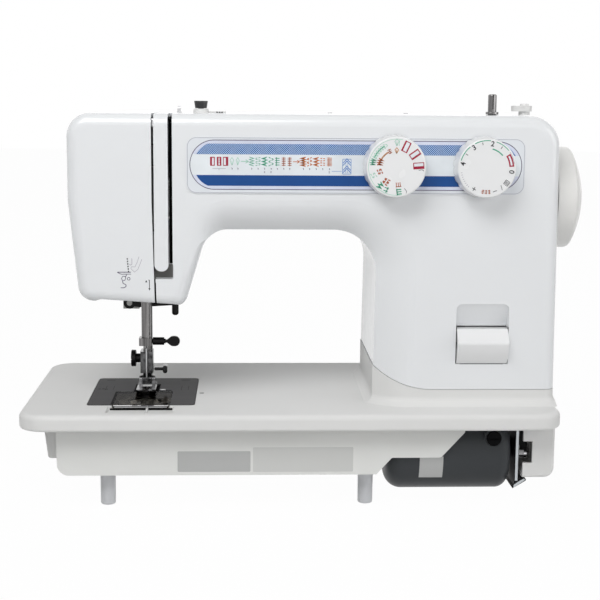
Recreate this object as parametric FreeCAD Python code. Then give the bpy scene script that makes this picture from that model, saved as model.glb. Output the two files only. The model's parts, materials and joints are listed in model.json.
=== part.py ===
"""Flat-bed household sewing machine, built piece by piece in millimetres.

While modelling, X runs along the bed to the right, Y runs away from the operator
from the bed's front edge, and Z rises from the bed's working surface. Each piece is
then shifted so that the origin is the centre of the footprint, on the table top.
"""
import FreeCAD
import Part
import math
import os

V = FreeCAD.Vector
X_DIR = V(1, 0, 0)
Y_DIR = V(0, 1, 0)
Z_DIR = V(0, 0, 1)

# ---- clearances and stock sizes ---------------------------------------------
SEAT_GAP = 0.3            # between a moving piece and what it rests on
SHAFT_GAP = 0.05          # radial play of a shaft in its bore
PLAY = 0.4                # room around a piece that drops into a pocket
THROUGH = 1.0             # how far a cutting tool passes beyond a face
WALL = 2.5                # moulded cover wall
ZAMAK = 5.0               # cast rib and rim wall

# ---- bed ---------------------------------------------------------------------
BED_LENGTH = 371.0
BED_DEPTH = 178.0
BED_LIP = 11.5
BED_SKIN = 4.0
BED_EDGE_R = 4.0
BED_LOWER_R = 2.0
BED_CORNER_R = 18.0
STAND_HEIGHT = 70.0       # working surface above the table
BED_LEFT = -BED_LENGTH / 2
BED_RIGHT = BED_LENGTH / 2

# ---- arm and column covers -----------------------------------------------------
FRONT_Y = 28.0
REAR_Y = 143.0
SPLIT_Y = 100.0
ARM_TOP = 200.0
ARM_UNDER = 121.4
HEAD_LEFT = -152.4
HEAD_WAIST_X = -145.4     # left side at the level of the head's lower edge
HEAD_SIDE_BEND_Z = 141.0
HEAD_SIDE_BEND_R = 80.0
HEAD_BOTTOM = 68.2
HEAD_BOTTOM_LEFT_Z = 73.0
HEAD_HEEL_X = -73.8       # lower right corner of the head
HEAD_BROW_X = -57.8       # where the head's slanted side meets the arm
COLUMN_WIDTH = 127.4      # at its foot
COLUMN_INSET = 1.1        # column's right side inside the bed's end
COLUMN_RIGHT = BED_RIGHT - COLUMN_INSET
COLUMN_LEFT = COLUMN_RIGHT - COLUMN_WIDTH
COLUMN_LEFT_LEAN = 1.8
COLUMN_LEFT_TOP = COLUMN_LEFT + COLUMN_LEFT_LEAN
COLUMN_LEAN = 2.0         # how far its top stands in from its foot
COLUMN_RIGHT_TOP = COLUMN_RIGHT - COLUMN_LEAN
TOP_LEFT_R = 16.0
TOP_RIGHT_R = 21.0
ARM_CORNER_R = 29.5
BROW_R = 18.0
HEEL_R = 9.5
CHIN_R = 10.5
COVER_EDGE_R = 8.0
ROLL_SLOPE = 3.0          # width and depth of the soft roll down the head's slanted side
ROLL_UNDER = 21.0         # its width in front of the arm's underside
ROLL_COLUMN = 27.0        # its width down the column's left edge
ROLL_UNDER_DEPTH = 12.0
ROLL_COLUMN_DEPTH = 11.0
ROLL_BROW_SHIFT = 6.0     # how far its crease cuts inside the brow
ROLL_POWER = 1.9          # 1 is a flat bevel, 2 meets the front face smoothly
ROLL_RUN_STEPS = 8
ROLL_BEND_STEPS = 10
ROLL_STATIONS = (-0.08, 0.0, 0.12, 0.27, 0.45, 0.65, 0.85, 1.0, 1.1)
SEAM_Z = 11.0             # level stretch of the seam between column and bed
SEAM_BEND_RUN = 42.0      # from the column's left edge to where the seam turns level
SEAM_BEND_X = COLUMN_LEFT + SEAM_BEND_RUN
SEAM_R = 64.0             # the seam then sweeps up to the column's left edge
SEAM_GAP = 0.35
PEDESTAL_FLARE = 6.0
PEDESTAL_FLARE_HEIGHT = 7.0

# ---- face cover, thread channel ---------------------------------------------------
FACE_EDGE_TOP_X = -95.3
FACE_EDGE_LOW_X = -93.6
SEAM_WIDTH = 1.2
CHANNEL_RIGHT = -81.3
CHANNEL_FLOOR_Z = 88.4
CHANNEL_DEPTH_Y = 62.0
POCKET_BACK_Y = 6.0       # depth of the grey pocket under the tongue
TONGUE_LEFT = -93.7
TONGUE_RIGHT = -84.2
TONGUE_TIP_Z = 93.7
TONGUE_THICK = 1.8
FACE_HINGE_R = 2.4
FACE_PIN_R = 1.0
FACE_HINGE_Y = REAR_Y + 0.6
FACE_KNUCKLE_H = 14.0
FACE_KNUCKLES_Z = (95.0, 165.0)

# ---- shafts ----------------------------------------------------------------------
SHAFT_Y = 76.0
SHAFT_Z = 142.0
SHAFT_R = 5.0
SHAFT_LEFT = -82.0
CRANK_R = 17.0
CRANK_THICK = 8.0
CRANK_THROW = 15.5
CRANK_PIN_R = 3.0
CRANK_ANGLE = 56.7        # the crank pin stands this far past the top
WHEEL_R = 36.0
WHEEL_RIM = 13.0
WHEEL_DOME = 9.7
WHEEL_GAP = 0.5
WHEEL_EDGE_R = 3.0
WHEEL_BORE_R = 30.0

# ---- needle and presser bars -------------------------------------------------------
NEEDLE_X = -103.4
NEEDLE_Y = 75.6
NEEDLE_BAR_R = 3.3
NEEDLE_BAR_LOW = 34.8
NEEDLE_BAR_TOP = 186.0
NEEDLE_R = 0.45
NEEDLE_SHANK_R = 1.0
NEEDLE_LENGTH = 38.0
NEEDLE_SHANK_LENGTH = 12.0
NEEDLE_TIP_Z = 7.0
NEEDLE_DOWN = 24.0
NEEDLE_UP = 7.0
PRESSER_Y = 92.0
PRESSER_BAR_R = 3.5
PRESSER_BAR_LOW = 14.0
PRESSER_BAR_TOP = 150.0
PRESSER_LIFT = 5.0
BUSH_WALL = 4.5
LOWER_BUSH_Z = (78.0, 88.6)
UPPER_BUSH_Z = (150.0, 162.0)

# ---- needle clamp, foot and lifter ---------------------------------------------------
CLAMP_X = (-108.4, -99.0)
CLAMP_Z = (33.8, 39.4)
CLAMP_Y = (70.6, 80.8)
CLAMP_SCREW_R = 1.7
CLAMP_SCREW_END = -90.4
CLAMP_KNOB_END = -79.2
CLAMP_KNOB_R = 3.6
CLAMP_KNOB_THICK = 2.4
YOKE_Z = (114.0, 124.0)   # bracket on the needle bar that the connecting rod drives
YOKE_HALF = 6.0
ROD_X = (-93.6, -91.0)
ROD_END_R = 5.5
ROD_HALF_WIDTH = 3.0
HOLDER_X = (-108.6, -99.4)
HOLDER_Y = (84.0, 97.0)
HOLDER_Z = (11.0, 27.0)
FOOT_SCREW_Z = 20.8
FOOT_SCREW_HEAD_R = 6.1
FOOT_SCREW_HEAD = (-115.6, -112.2)
FOOT_SCREW_R = 2.0
FOOT_X = (-110.4, -96.4)
FOOT_Y = (58.0, 90.0)
FOOT_SOLE_Z = 0.6
FOOT_SOLE_THICK = 2.0
FOOT_TOE_RISE = 2.6
FOOT_PIN_Y = 84.0
FOOT_PIN_Z = 6.2
FOOT_PIN_R = 1.2
FOOT_EAR_THICK = 2.2
FOOT_EAR_TOP = 9.4
FOOT_TILT_RELIEF = 1.4
RELEASE_Z = 12.4
LIFTER_PIVOT_X = -117.0
LIFTER_Z = 61.0
LIFTER_Y = (97.4, 101.4)
LIFTER_ARM_R = 3.2
LIFTER_PIN_R = 2.0
LIFTER_HANDLE_X = -83.6
LIFTER_HANDLE_Z = (51.6, 62.6)
LIFTER_HANDLE_R = 2.5
LIFT_TAB_Z = (64.6, 67.6)

# ---- needle plate, hook and feed -------------------------------------------------------
PLATE_X = (-141.4, -67.2)
PLATE_Y = (30.0, 116.0)
PLATE_THICK = 1.6
PLATE_PROUD = 0.3
PLATE_LEDGE = 4.0
PLATE_CORNER_R = 3.0
COVER_X = (-123.5, -84.5)
COVER_Y = (26.0, 71.0)
COVER_SLIDE = 18.0
RECESS_X = (-126.5, -80.7)
RECESS_FRONT_Y = 7.0
RECESS_DEPTH = 2.6
HOOK_Y = 53.6
HOOK_R = 21.0
HOOK_Z = (-20.0, -4.3)
HOOK_WALL = 1.8
HOLDER_CUP_R = 18.2
BOBBIN_R = 10.2
BOBBIN_HUB_R = 3.2
BOBBIN_Z = (-15.0, -3.6)
HOOK_SHAFT_R = 4.0
HOOK_GEAR_R = 18.0
HOOK_GEAR_TEETH = 24
LOWER_GEAR_R = 12.0
LOWER_GEAR_TEETH = 16
GEAR_TOOTH_R = 1.1
GEAR_FACE = 7.0
LOWER_SHAFT_R = 4.0
LOWER_SHAFT_Y = HOOK_Y + HOOK_GEAR_R + LOWER_GEAR_R + SEAT_GAP
LOWER_SHAFT_Z = -29.0
LOWER_SHAFT_LEFT = -112.0
FEED_X = (-112.0, -94.8)
FEED_Y = (73.0, 93.0)
FEED_BRIDGE_Y = 79.0
FEED_BASE_Z = (-3.1, -1.6)
FEED_ARM_Z = -9.0
FEED_ROW_HALF = 1.3
FEED_TRAVEL = 2.0
FEED_PITCH = 1.6
BUTTON_X = -90.8
BUTTON_Y = 74.6

# ---- belts and pulleys --------------------------------------------------------------------
TIMING_WIDTH = 6.0
TIMING_TOP_R = 21.0
TIMING_LOW_R = 7.0
BELT_THICK = 1.5
DRIVE_INSET = 18.9        # drive belt's line inside the column's right side
DRIVE_X = COLUMN_RIGHT - DRIVE_INSET
DRIVE_WIDTH = 5.0
DRIVE_BIG_R = 30.0
DRIVE_SMALL_R = 6.0
FLANGE_RISE = 2.2
FLANGE_THICK = 1.6

# ---- motor and lower cover --------------------------------------------------------------------
MOTOR_LENGTH = 87.3
MOTOR_BELT_GAP = 11.9     # from the motor's flat end to the belt's line
MOTOR_X = (DRIVE_X - MOTOR_BELT_GAP - MOTOR_LENGTH, DRIVE_X - MOTOR_BELT_GAP)
MOTOR_Y = 46.0
MOTOR_Z = -34.6
MOTOR_R = 28.6
MOTOR_END_R = 12.0
MOTOR_SHAFT_R = 3.0
MOTOR_BOSS_R = 7.0
MOTOR_BOSS_RUN = 3.2
MOTOR_BOSS_END = MOTOR_X[1] + MOTOR_BOSS_RUN
BRUSH_INSET = 13.0
BRUSH_X = MOTOR_X[1] - BRUSH_INSET
BRUSH_Z = -21.4
BRUSH_R = 5.2
BRUSH_FACE_Y = 17.6
STRAP_THICK = 2.6
STRAP_X = (MOTOR_BOSS_END, MOTOR_BOSS_END + STRAP_THICK)
STRAP_Y = (24.0, 62.0)
STRAP_LOW = -56.6
STRAP_TAB_RUN = 6.0
BRACKET_NUT_Z = -35.0
BRACKET_NUT_R = 3.4
BRACKET_NUT_THICK = 4.2
BRACKET_STUD_END = 2.0
LOWER_COVER_X = (DRIVE_X - 3.9, COLUMN_RIGHT - 0.6)
LOWER_COVER_Y = (20.0, 104.0)
LOWER_COVER_Z = -50.1
LOWER_COVER_R = 7.0
LOWER_COVER_NOTCH_Z = (-39.5, -24.0)
LOWER_COVER_NOTCH_X = LOWER_COVER_X[0] + 6.4
INLET_Y = 78.0
INLET_Z = -28.0

# ---- pan and pegs ---------------------------------------------------------------------------
PAN_INSET = 25.1          # its left end inside the bed's
PAN_MOTOR_RUN = 8.7       # from its right end to the motor's round end
PAN_LEFT = BED_LEFT + PAN_INSET
PAN_RIGHT = MOTOR_X[0] - PAN_MOTOR_RUN
PAN_FRONT = 14.0
PAN_REAR = 164.0
PAN_FLOOR = -45.5
PAN_CORNER_R = 8.0
PAN_WALL = 2.5
APRON_STEP_RUN = 11.6
APRON_LOW_RUN = 45.6
APRON_TIP_RUN = 61.8
APRON_STEP_X = PAN_RIGHT + APRON_STEP_RUN
APRON_STEP_Z = -33.7
APRON_LOW_X = PAN_RIGHT + APRON_LOW_RUN
APRON_TIP_X = PAN_RIGHT + APRON_TIP_RUN
APRON_TIP_Z = -15.9
PEG_LEFT_X = -127.4
PEG_INSET = 5.2
PEG_X = (PEG_LEFT_X, PAN_RIGHT - PEG_INSET)
RIB_LEFT_X = -30.0
RIB_PEG_RUN = 22.4        # from the right-hand rib to the pegs beside it
RIB_CENTRES_X = (RIB_LEFT_X, PEG_X[1] - RIB_PEG_RUN)
PEG_Y = (30.0, 148.0)
PEG_TOP_R = 5.6
PEG_FOOT_R = 5.2
PEG_FOOT_EDGE_R = 1.2
SIDE_RIB_INSET = 7.5
SIDE_RIB_RUN = 12.0
SIDE_RIB_X = (BED_LEFT + SIDE_RIB_INSET, BED_LEFT + SIDE_RIB_INSET + SIDE_RIB_RUN)
SIDE_RIB_Y = (60.0, 128.0)
SIDE_RIB_Z = -46.0
LOWER_BEARING_LEFT_X = -60.0
LOWER_BEARING_INSET = 13.6
LOWER_BEARINGS_X = (LOWER_BEARING_LEFT_X, PAN_RIGHT - LOWER_BEARING_INSET)
TIMING_RUN = 20.4         # from the pan's right end to the timing belt's line
TIMING_X = PAN_RIGHT + TIMING_RUN
LOWER_SHAFT_TAIL = 5.0    # how far the lower shaft runs past its pulley's middle
LOWER_SHAFT_X = (LOWER_SHAFT_LEFT, TIMING_X + LOWER_SHAFT_TAIL)

# ---- front controls --------------------------------------------------------------------------------
LENGTH_INSET = 55.4       # length dial's centre inside the column's right side
LENGTH_X = COLUMN_RIGHT - LENGTH_INSET
PANEL_LEFT = -71.5
PANEL_TAIL = 28.5         # how far the panel runs past the length dial's centre
PANEL_X = (PANEL_LEFT, LENGTH_X + PANEL_TAIL)
PANEL_Z = (147.0, 184.7)
PANEL_R = 6.5
PANEL_THICK = 0.6
DIAL_FACE_Y = 12.0
DIAL_GAP = 0.7
SELECTOR_X = 68.2
SELECTOR_Z = 166.0
SELECTOR_R = 21.2
LENGTH_Z = 165.6
LENGTH_R = 20.8
DIAL_LOBES = 22
DIAL_LOBE_DEPTH = 0.5
DIAL_SHAFT_R = 3.0
DIAL_SHAFT_END_Y = 62.0
REVERSE_LEFT_RUN = 15.4   # the lever's sides left and right of the length dial's centre
REVERSE_RIGHT_RUN = 21.2
REVERSE_X = (LENGTH_X - REVERSE_LEFT_RUN, LENGTH_X + REVERSE_RIGHT_RUN)
REVERSE_Z = (29.2, 71.4)
REVERSE_CORNER_R = 4.0
REVERSE_PIVOT_Y = 60.0
REVERSE_PIVOT_Z = 56.0
REVERSE_DRUM_R = 41.3     # its front runs round the pivot and slides down behind the cover
REVERSE_PIN_R = 2.5
REVERSE_LEDGE_Z = 54.0
LEDGE_DROP = 1.12         # fall of the finger ledge for each millimetre towards the operator
LEDGE_THICK = 9.0
LEDGE_EDGE_R = 2.5
REVERSE_HUB_DROP = 4.0
SCOOP_BACK_Y = 36.0
SCOOP_FOOT_Z = 55.0

# ---- pieces on top of the arm ---------------------------------------------------------------------------
WINDER_INSET = 37.6
WINDER_X = COLUMN_RIGHT_TOP - WINDER_INSET
WINDER_Y = 85.0
WINDER_R = 3.1
WINDER_TOP = 214.6
WINDER_FLANGE_R = 4.6
WINDER_TRAVEL = 3.6
TYRE_R = 12.0
TYRE_Z = (166.0, 172.0)
STOPPER_RUN = 23.2        # from the winder's spindle to its stopper
STOPPER_X = WINDER_X + STOPPER_RUN
STOPPER_POST_R = 4.0
STOPPER_CAP_Z = (202.6, 206.6)
STOPPER_CAP_R = 5.4
STOPPER_LOBE = 5.0        # how far its cap reaches towards the spindle
KNOB_X = -63.6
KNOB_Y = 85.0
KNOB_BASE_R = 5.6
KNOB_Z = (203.2, 208.4)
KNOB_R = (4.2, 5.0)
KNOB_FLUTES = 16
GUIDE_X = -79.0
PIN_X = (30.0, 86.0)
PIN_Y = 112.0
PIN_R = 2.4
PIN_TRAVEL = 45.0
PIN_LOW = 138.0
LAMP_X = -128.0
LAMP_Y = 104.0
LAMP_Z = (96.0, 128.0)
LAMP_R = 8.5
SCREW_R = 2.0
SCREW_HEAD_R = 3.6
BEAM_Y = (118.0, 136.0)
BEAM_Z = (126.0, 176.0)
BEAM_LEFT_X = -112.0
BEAM_INSET = 16.4
BEAM_X = (BEAM_LEFT_X, COLUMN_RIGHT - BEAM_INSET)
POST_INSET_LEFT = 35.0
POST_INSET_RIGHT = 34.4
POST_X = (COLUMN_LEFT + POST_INSET_LEFT, COLUMN_RIGHT - POST_INSET_RIGHT)
BEAM_SCREW_Z = 160.0
POST_SCREW_Z = 40.0
COVER_SCREWS = ((-60.0, BEAM_SCREW_Z), (40.0, BEAM_SCREW_Z), (POST_X[1] - ZAMAK, BEAM_SCREW_Z),
                (POST_X[0] + ZAMAK, POST_SCREW_Z), (POST_X[1] - ZAMAK, POST_SCREW_Z))
LUG_DRIVE_RUN = 17.5      # from the right-hand lug to the drive belt's line
SHAFT_LUGS_X = (-76.0, 40.0, DRIVE_X - LUG_DRIVE_RUN)
LUG_THICK = 8.0
LUG_R = 11.0
TAKE_UP_X = (-94.9, -94.1)
TAKE_UP_PIVOT_Y = 98.0
TAKE_UP_PIVOT_Z = 158.0
TAKE_UP_TIP_Y = 31.5
TAKE_UP_TIP_Z = 197.2

# ---- edges and details of the cast pieces ---------------------------------------------------------
FLARE_STEPS = 5
FLARE_POWER = 2.4
RECESS_R = 2.0
COVER_SEAT_RUN = 4.0      # how far the hook cover's seat runs in front of the plate
BELT_ROOM = 5.0
SIDE_RIB_R = 2.0
PAN_EDGE_R = 3.0
APRON_R = 2.0
PEDESTAL_ROLL = 14.2      # how far the pedestal's rolled corner runs along its front
PEDESTAL_ROLL_R = 37.0
POCKET_EDGE_R = 1.0
TONGUE_TIP_R = 4.4
BEAM_TOP_R = 6.0
BEAM_LOW_R = 4.0
POST_ROOT_R = 12.0
BEAM_BAYS = 4
BAY_R = 4.0
LUG_STEP = 2.0            # how much lower a lug's web is than its ring
SPINE_GAP = 2.0           # between the presser bar and the frame's spine
TAKE_UP_BOSS = 3.0
TAKE_UP_STUD_R = 2.0
LAMP_NECK = 0.55          # lamp's cap as a share of its bulb

# ---- edges and details of the turned and ground pieces -----------------------------------------------
SHARP_R = 0.4             # broken edge
SOFT_R = 1.0              # rounded edge
SLIT = 0.8                # width of a screwdriver slot
CRANK_SEAT = 2.0          # how far the shaft enters the crank disc
CRANK_BOSS = 2.0
FLANGE_EDGE_R = 0.6
WHEEL_DISH_R = 3.0
HOOK_FLOOR = 2.5
HOOK_KNEE = 6.0
HOOK_POINT_DEPTH = 4.0
HOOK_STEM_TAIL = 6.0
HOLDER_FLOOR_GAP = 3.2    # from the hook's underside to the holder's
HOLDER_RISE = 1.6
HOLDER_FLOOR = 1.4
HOLDER_ROOM = 1.2
HOLDER_TAPER = 4.0
BOBBIN_FLANGE = 1.0
BOBBIN_HUB_WALL = 0.9
BOBBIN_EDGE_R = 0.3
YOKE_R = 2.0
CLAMP_R = 1.6
CLAMP_COLLAR_R = 2.8
CLAMP_NECK = 1.0          # half height of the grip's neck
CLAMP_NECK_RUN = 2.0
CLAMP_GRIP_RUN = 6.0
CLAMP_GRIP_R = 3.4
NEEDLE_POINT = 2.4
NEEDLE_SHOULDER = 2.0

# ---- details of the presser foot and its lifter ----------------------------------------------------------
BAR_TAB_HALF = 5.0
BAR_TAB_R = 2.0
HOLDER_EDGE_R = 1.2
NECK_RUN = 4.0
NECK_STEP = 2.0
NECK_TAPER = 6.0
NECK_LOW = 1.8            # how far the neck reaches below the foot's pin
NECK_FRONT = 3.0
FOOT_COLLAR = 1.4
FOOT_SLIT_DEPTH = 1.0
TOE_RUN = 9.0
TOE_OUTER_R = 12.0
TOE_INNER_R = 10.0
TOE_TIP_R = 0.6
FOOT_PLAN_R = 2.5
TOE_GAP_HALF = 2.2
TOE_GAP_END = 3.5         # from the needle to the back of the gap between the toes
FOOT_SLOT_HALF = (4.2, 1.6)
FOOT_SLOT_R = 1.5
THREAD_GAP_HALF = 1.1
EAR_FRONT = 5.0
EAR_BACK = 4.0
EAR_TOP_HALF = 3.0
EAR_R = 2.5
EAR_ROOT = 0.5
RELEASE_HUB_R = 1.2
RELEASE_PIVOT_X = HOLDER_X[1] + SEAT_GAP + RELEASE_HUB_R
RELEASE_END_X = -89.4
RELEASE_ARM_Y = (1.0, 3.0)    # behind the presser bar's line
RELEASE_PAD_WIDTH = 3.2
RELEASE_PAD_HALF = 2.9
RELEASE_PAD_R = 1.4
LIFTER_EYE_WALL = 1.2
LIFTER_ARM_HALF = 2.6
LIFTER_BELLY = 3.2
LIFTER_BELLY_R = 4.0
LIFTER_TAIL = (-1.6, 1.2)     # its tail's edges about the pivot's height
LIFTER_CAM_X = (-5.0, -2.0, 2.0, 3.0)
LIFTER_CAM_R = 1.4
LIFTER_CAM_FOOT_R = 0.6
GRIP_TIP_R = 1.4
GRIP_TAPER = 3.0
TAKE_UP_EYE_R = 6.0
TAKE_UP_ARM = ((-3.0, -5.0), (4.0, 4.0), (-30.0, 30.0), (-34.0, 18.0))   # from its pivot
TAKE_UP_ARM_R = 14.0
TAKE_UP_TIP = 6.0
TAKE_UP_TIP_R = 1.2
THREAD_EYE_R = 1.0

# ---- details round the needle plate ----------------------------------------------------------------------
FEED_SLOT_R = 0.5
NEEDLE_SLOT_HALF = (3.6, 0.9)
NEEDLE_SLOT_R = 0.8
BUTTON_SLOT = (3.6, 5.6, 1.3)   # left of, right of and either side of the button's centre
BUTTON_SLOT_R = 1.0
PLATE_SCREW_INSET = (9.0, 7.0)
COVER_R = 1.2
COVER_GRIP = (8.0, 1.5, 3.5)    # half width, front and back of the finger groove
COVER_GRIP_DEPTH = 0.4
BUTTON_STEM = (2.8, 1.2, 0.9)
BUTTON_STEM_R = 0.6
BUTTON_FOOT = (4.0, 2.4, 2.2)
BUTTON_DROP = 1.2
BUTTON_RISE = 0.7
FEED_TOOTH_LOW = -0.9
FEED_TOOTH_LEAN = 0.7
FEED_ARM_INSET = 3.0
FEED_ARM_RUN = 5.0

# ---- details of the motor and the covers round it ------------------------------------------------------------
MOTOR_BACK_R = 8.4
MOTOR_VENTS = 8
MOTOR_VENT_R = 2.4
MOTOR_VENT_RING_R = 14.0
BRUSH_WALL = 1.4
BRUSH_HEAD = 2.0
BRUSH_STEP = 1.2
BRUSH_LENGTH = 10.0
STRAP_LOW_R = (3.0, 12.0)
STRAP_FOOT = ((-1.0, -2.4), (3.4, 5.6))   # the bent foot's near and far edges
STRAP_FOOT_BACK = 14.0
STRAP_FLANGE = 2.0
HEXAGON = 6
LOWER_COVER_FILLET = 2.0
INLET_HALF = (8.0, 6.0)
INLET_DEPTH = 12.0
INLET_PROUD = 0.6
INLET_MOUTH_HALF = (6.5, 4.2)
INLET_MOUTH_R = 2.0
INLET_MOUTH_DEPTH = 9.0
INLET_PIN_R = 0.8
INLET_PIN_X = (10.0, 5.0)     # depths of the pins' roots and tips
INLET_PIN_STEP = 4.0

# ---- details of the controls and the pieces on top -------------------------------------------------------------
DIAL_FACE_STEP = 1.2
DIAL_LOBE_BITE = 3.2
DIAL_LOBE_START = 2.5
CARRIAGE_RUN = (14.0, 12.0)
CARRIAGE_HALF = 9.0
CARRIAGE_THICK = 3.0
CARRIAGE_R = 3.0
CARRIAGE_BUSH = 2.2
WINDER_FLANGE = 1.8
WINDER_TIP_R = 1.2
WINDER_SLIT = 0.7
WINDER_SLIT_LOW = 4.0
STOPPER_LOBE_R = 4.4
STOPPER_SCREW_R = (3.4, 2.8)
STOPPER_SCREW_RISE = 1.4
KNOB_STEM_R = 2.0
KNOB_FLUTE_R = 0.6
KNOB_FLUTE_OUT = 0.35
GUIDE_HALF = 1.8
GUIDE_WIRE_INSET = 0.6
GUIDE_FOOT_Y = (-3.0, 5.0)
GUIDE_FOOT_THICK = 0.8
GUIDE_TOP = 4.6
GUIDE_TIP = 2.6
GUIDE_BACK = 2.0
GUIDE_R = 1.6
PIN_TOP_R = 1.2
LAMP_CAP = 6.0            # length of the lamp's cap inside its holder
LAMP_SHOULDER = 8.0
LAMP_SHOULDER_R = 4.0
LAMP_ARM_Z = (2.0, 7.0)
LAMP_ARM_WIDTH = 6.0
SCREW_HEAD = 1.6
SCREW_SLOT_DEPTH = 0.7


def box(x0, x1, y0, y1, z0, z1):
    """Rectangular block between two corners."""
    return Part.makeBox(x1 - x0, y1 - y0, z1 - z0, V(x0, y0, z0))


def rod(radius, start, end):
    """Round bar from one point to another."""
    run = end - start
    return Part.makeCylinder(radius, run.Length, start, run)


def cone(radius_start, radius_end, start, end):
    """Tapered round bar from one point to another."""
    run = end - start
    return Part.makeCone(radius_start, radius_end, run.Length, start, run)


def in_xz(y):
    """Place plane coordinates in the plane at depth y."""
    return lambda a, b: V(a, y, b)


def in_yz(x):
    """Place plane coordinates in the plane at station x."""
    return lambda a, b: V(x, a, b)


def in_xy(z):
    """Place plane coordinates in the level plane at height z."""
    return lambda a, b: V(a, b, z)


def rounded_wire(corners, place):
    """Closed outline through corners (a, b, radius), each rounded by its radius."""
    points = [V(a, b, 0) for a, b, _ in corners]
    ends = []
    for index, (_, _, radius) in enumerate(corners):
        here = points[index]
        back = (points[index - 1] - here).normalize()
        ahead = (points[(index + 1) % len(points)] - here).normalize()
        if radius <= 0:
            ends.append((here, here, here))
            continue
        half = back.getAngle(ahead) / 2
        reach = radius / math.tan(half)
        middle = (back + ahead).normalize()
        bulge = here + middle * (radius / math.sin(half) - radius)
        ends.append((here + back * reach, bulge, here + ahead * reach))
    edges = []
    for index, (start, bulge, stop) in enumerate(ends):
        following = ends[(index + 1) % len(ends)][0]
        spots = [place(p.x, p.y) for p in (start, bulge, stop, following)]
        if (stop - start).Length > 1e-6:
            edges.append(Part.Arc(spots[0], spots[1], spots[2]).toShape())
        if (following - stop).Length > 1e-6:
            edges.append(Part.makeLine(spots[2], spots[3]))
    return Part.Wire(edges)


def open_line(corners, run_steps, bend_steps):
    """Points along an open outline of (a, b, radius) corners, even on each run and bend."""
    stops = [V(corners[0][0], corners[0][1], 0)]
    spots = []
    for index in range(1, len(corners) - 1):
        before, here, after = [V(a, b, 0) for a, b, _ in corners[index - 1:index + 2]]
        radius = corners[index][2]
        back, ahead = (before - here).normalize(), (after - here).normalize()
        half = back.getAngle(ahead) / 2
        reach = radius / math.tan(half)
        centre = here + (back + ahead).normalize() * (radius / math.sin(half))
        start, stop = here + back * reach, here + ahead * reach
        spots += along(stops[-1], start, run_steps)
        turn = (start - centre).getAngle(stop - centre)
        for step in range(bend_steps):
            part = turn * step / bend_steps
            spots.append(centre + (start - centre) * (math.sin(turn - part) / math.sin(turn))
                         + (stop - centre) * (math.sin(part) / math.sin(turn)))
        stops.append(stop)
    last = V(corners[-1][0], corners[-1][1], 0)
    return spots + along(stops[-1], last, run_steps) + [last]


def along(start, stop, steps):
    """Evenly spaced points from start up to, but not including, stop."""
    return [start + (stop - start) * (step / steps) for step in range(steps)]


def plate(corners, place, thickness):
    """Flat piece: a rounded outline pushed along a direction."""
    return Part.Face(rounded_wire(corners, place)).extrude(thickness)


def rectangle(a0, a1, b0, b1, radius=0.0):
    """Corners of a rectangle with one radius all round."""
    return [(a0, b0, radius), (a1, b0, radius), (a1, b1, radius), (a0, b1, radius)]


def spread_out(corners, spread):
    """A convex outline moved outwards by spread, or inwards where spread is negative."""
    moved = []
    for index, (a, b, radius) in enumerate(corners):
        before, after = corners[index - 1], corners[(index + 1) % len(corners)]
        normals = []
        for start, stop in ((before, (a, b)), ((a, b), after)):
            normals.append(V(stop[1] - start[1], start[0] - stop[0], 0).normalize())
        shift = (normals[0] + normals[1]) * (spread / (1 + normals[0].dot(normals[1])))
        moved.append((a + shift.x, b + shift.y, max(radius + spread, 0)))
    return moved


def turned_x(corners, y, z):
    """Revolve an outline of (x, radius) corners about a line along X."""
    wire = rounded_wire(corners, lambda a, b: V(a, y, z + b))
    return Part.Face(wire).revolve(V(0, y, z), X_DIR, 360)


def turned_y(corners, x, z):
    """Revolve an outline of (y, radius) corners about a line along Y."""
    wire = rounded_wire(corners, lambda a, b: V(x + b, a, z))
    return Part.Face(wire).revolve(V(x, 0, z), Y_DIR, 360)


def turned_z(corners, x, y):
    """Revolve an outline of (z, radius) corners about a line along Z."""
    wire = rounded_wire(corners, lambda a, b: V(x + b, y, a))
    return Part.Face(wire).revolve(V(x, y, 0), Z_DIR, 360)


def join(first, *others):
    """Fuse pieces into one solid and merge split faces."""
    return first.multiFuse(list(others)).removeSplitter()


def edges_in_plane(shape, axis, value):
    """Edges that lie in the plane where the axis coordinate is value."""
    found = []
    for edge in shape.Edges:
        low = getattr(edge.BoundBox, axis + "Min")
        high = getattr(edge.BoundBox, axis + "Max")
        if abs(low - value) < 1e-4 and abs(high - value) < 1e-4:
            found.append(edge)
    return found


def edge_near(shape, spot):
    """The edge whose middle is nearest to a point."""
    return min(shape.Edges, key=lambda edge: edge.CenterOfMass.distanceToPoint(spot))


def biggest(shape):
    """The largest solid of a shape."""
    return max(shape.Solids, key=lambda solid: solid.Volume)


# ---- bed -------------------------------------------------------------------------------
def seam_height(x):
    """Height of the seam between the bed's pedestal and the column above it."""
    run = max(SEAM_BEND_X - x, 0.0)
    return SEAM_Z + SEAM_R - math.sqrt(SEAM_R ** 2 - run ** 2)


def seam_outline(lift, floor):
    """Front view of the region under the seam, from floor up to the seam plus lift."""
    left, right = COLUMN_LEFT - ZAMAK, COLUMN_RIGHT + ZAMAK
    middle = (COLUMN_LEFT + SEAM_BEND_X) / 2
    spots = [V(left, 0, seam_height(left) + lift), V(middle, 0, seam_height(middle) + lift),
             V(SEAM_BEND_X, 0, SEAM_Z + lift), V(right, 0, SEAM_Z + lift),
             V(right, 0, floor), V(left, 0, floor)]
    edges = [Part.Arc(spots[0], spots[1], spots[2]).toShape()]
    for start, stop in ((2, 3), (3, 4), (4, 5), (5, 0)):
        edges.append(Part.makeLine(spots[start], spots[stop]))
    return Part.Face(Part.Wire(edges))


def below_seam(lift, floor):
    """Solid that fills everything under the seam, front to back."""
    return seam_outline(lift, floor).extrude(V(0, BED_DEPTH, 0))


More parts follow.
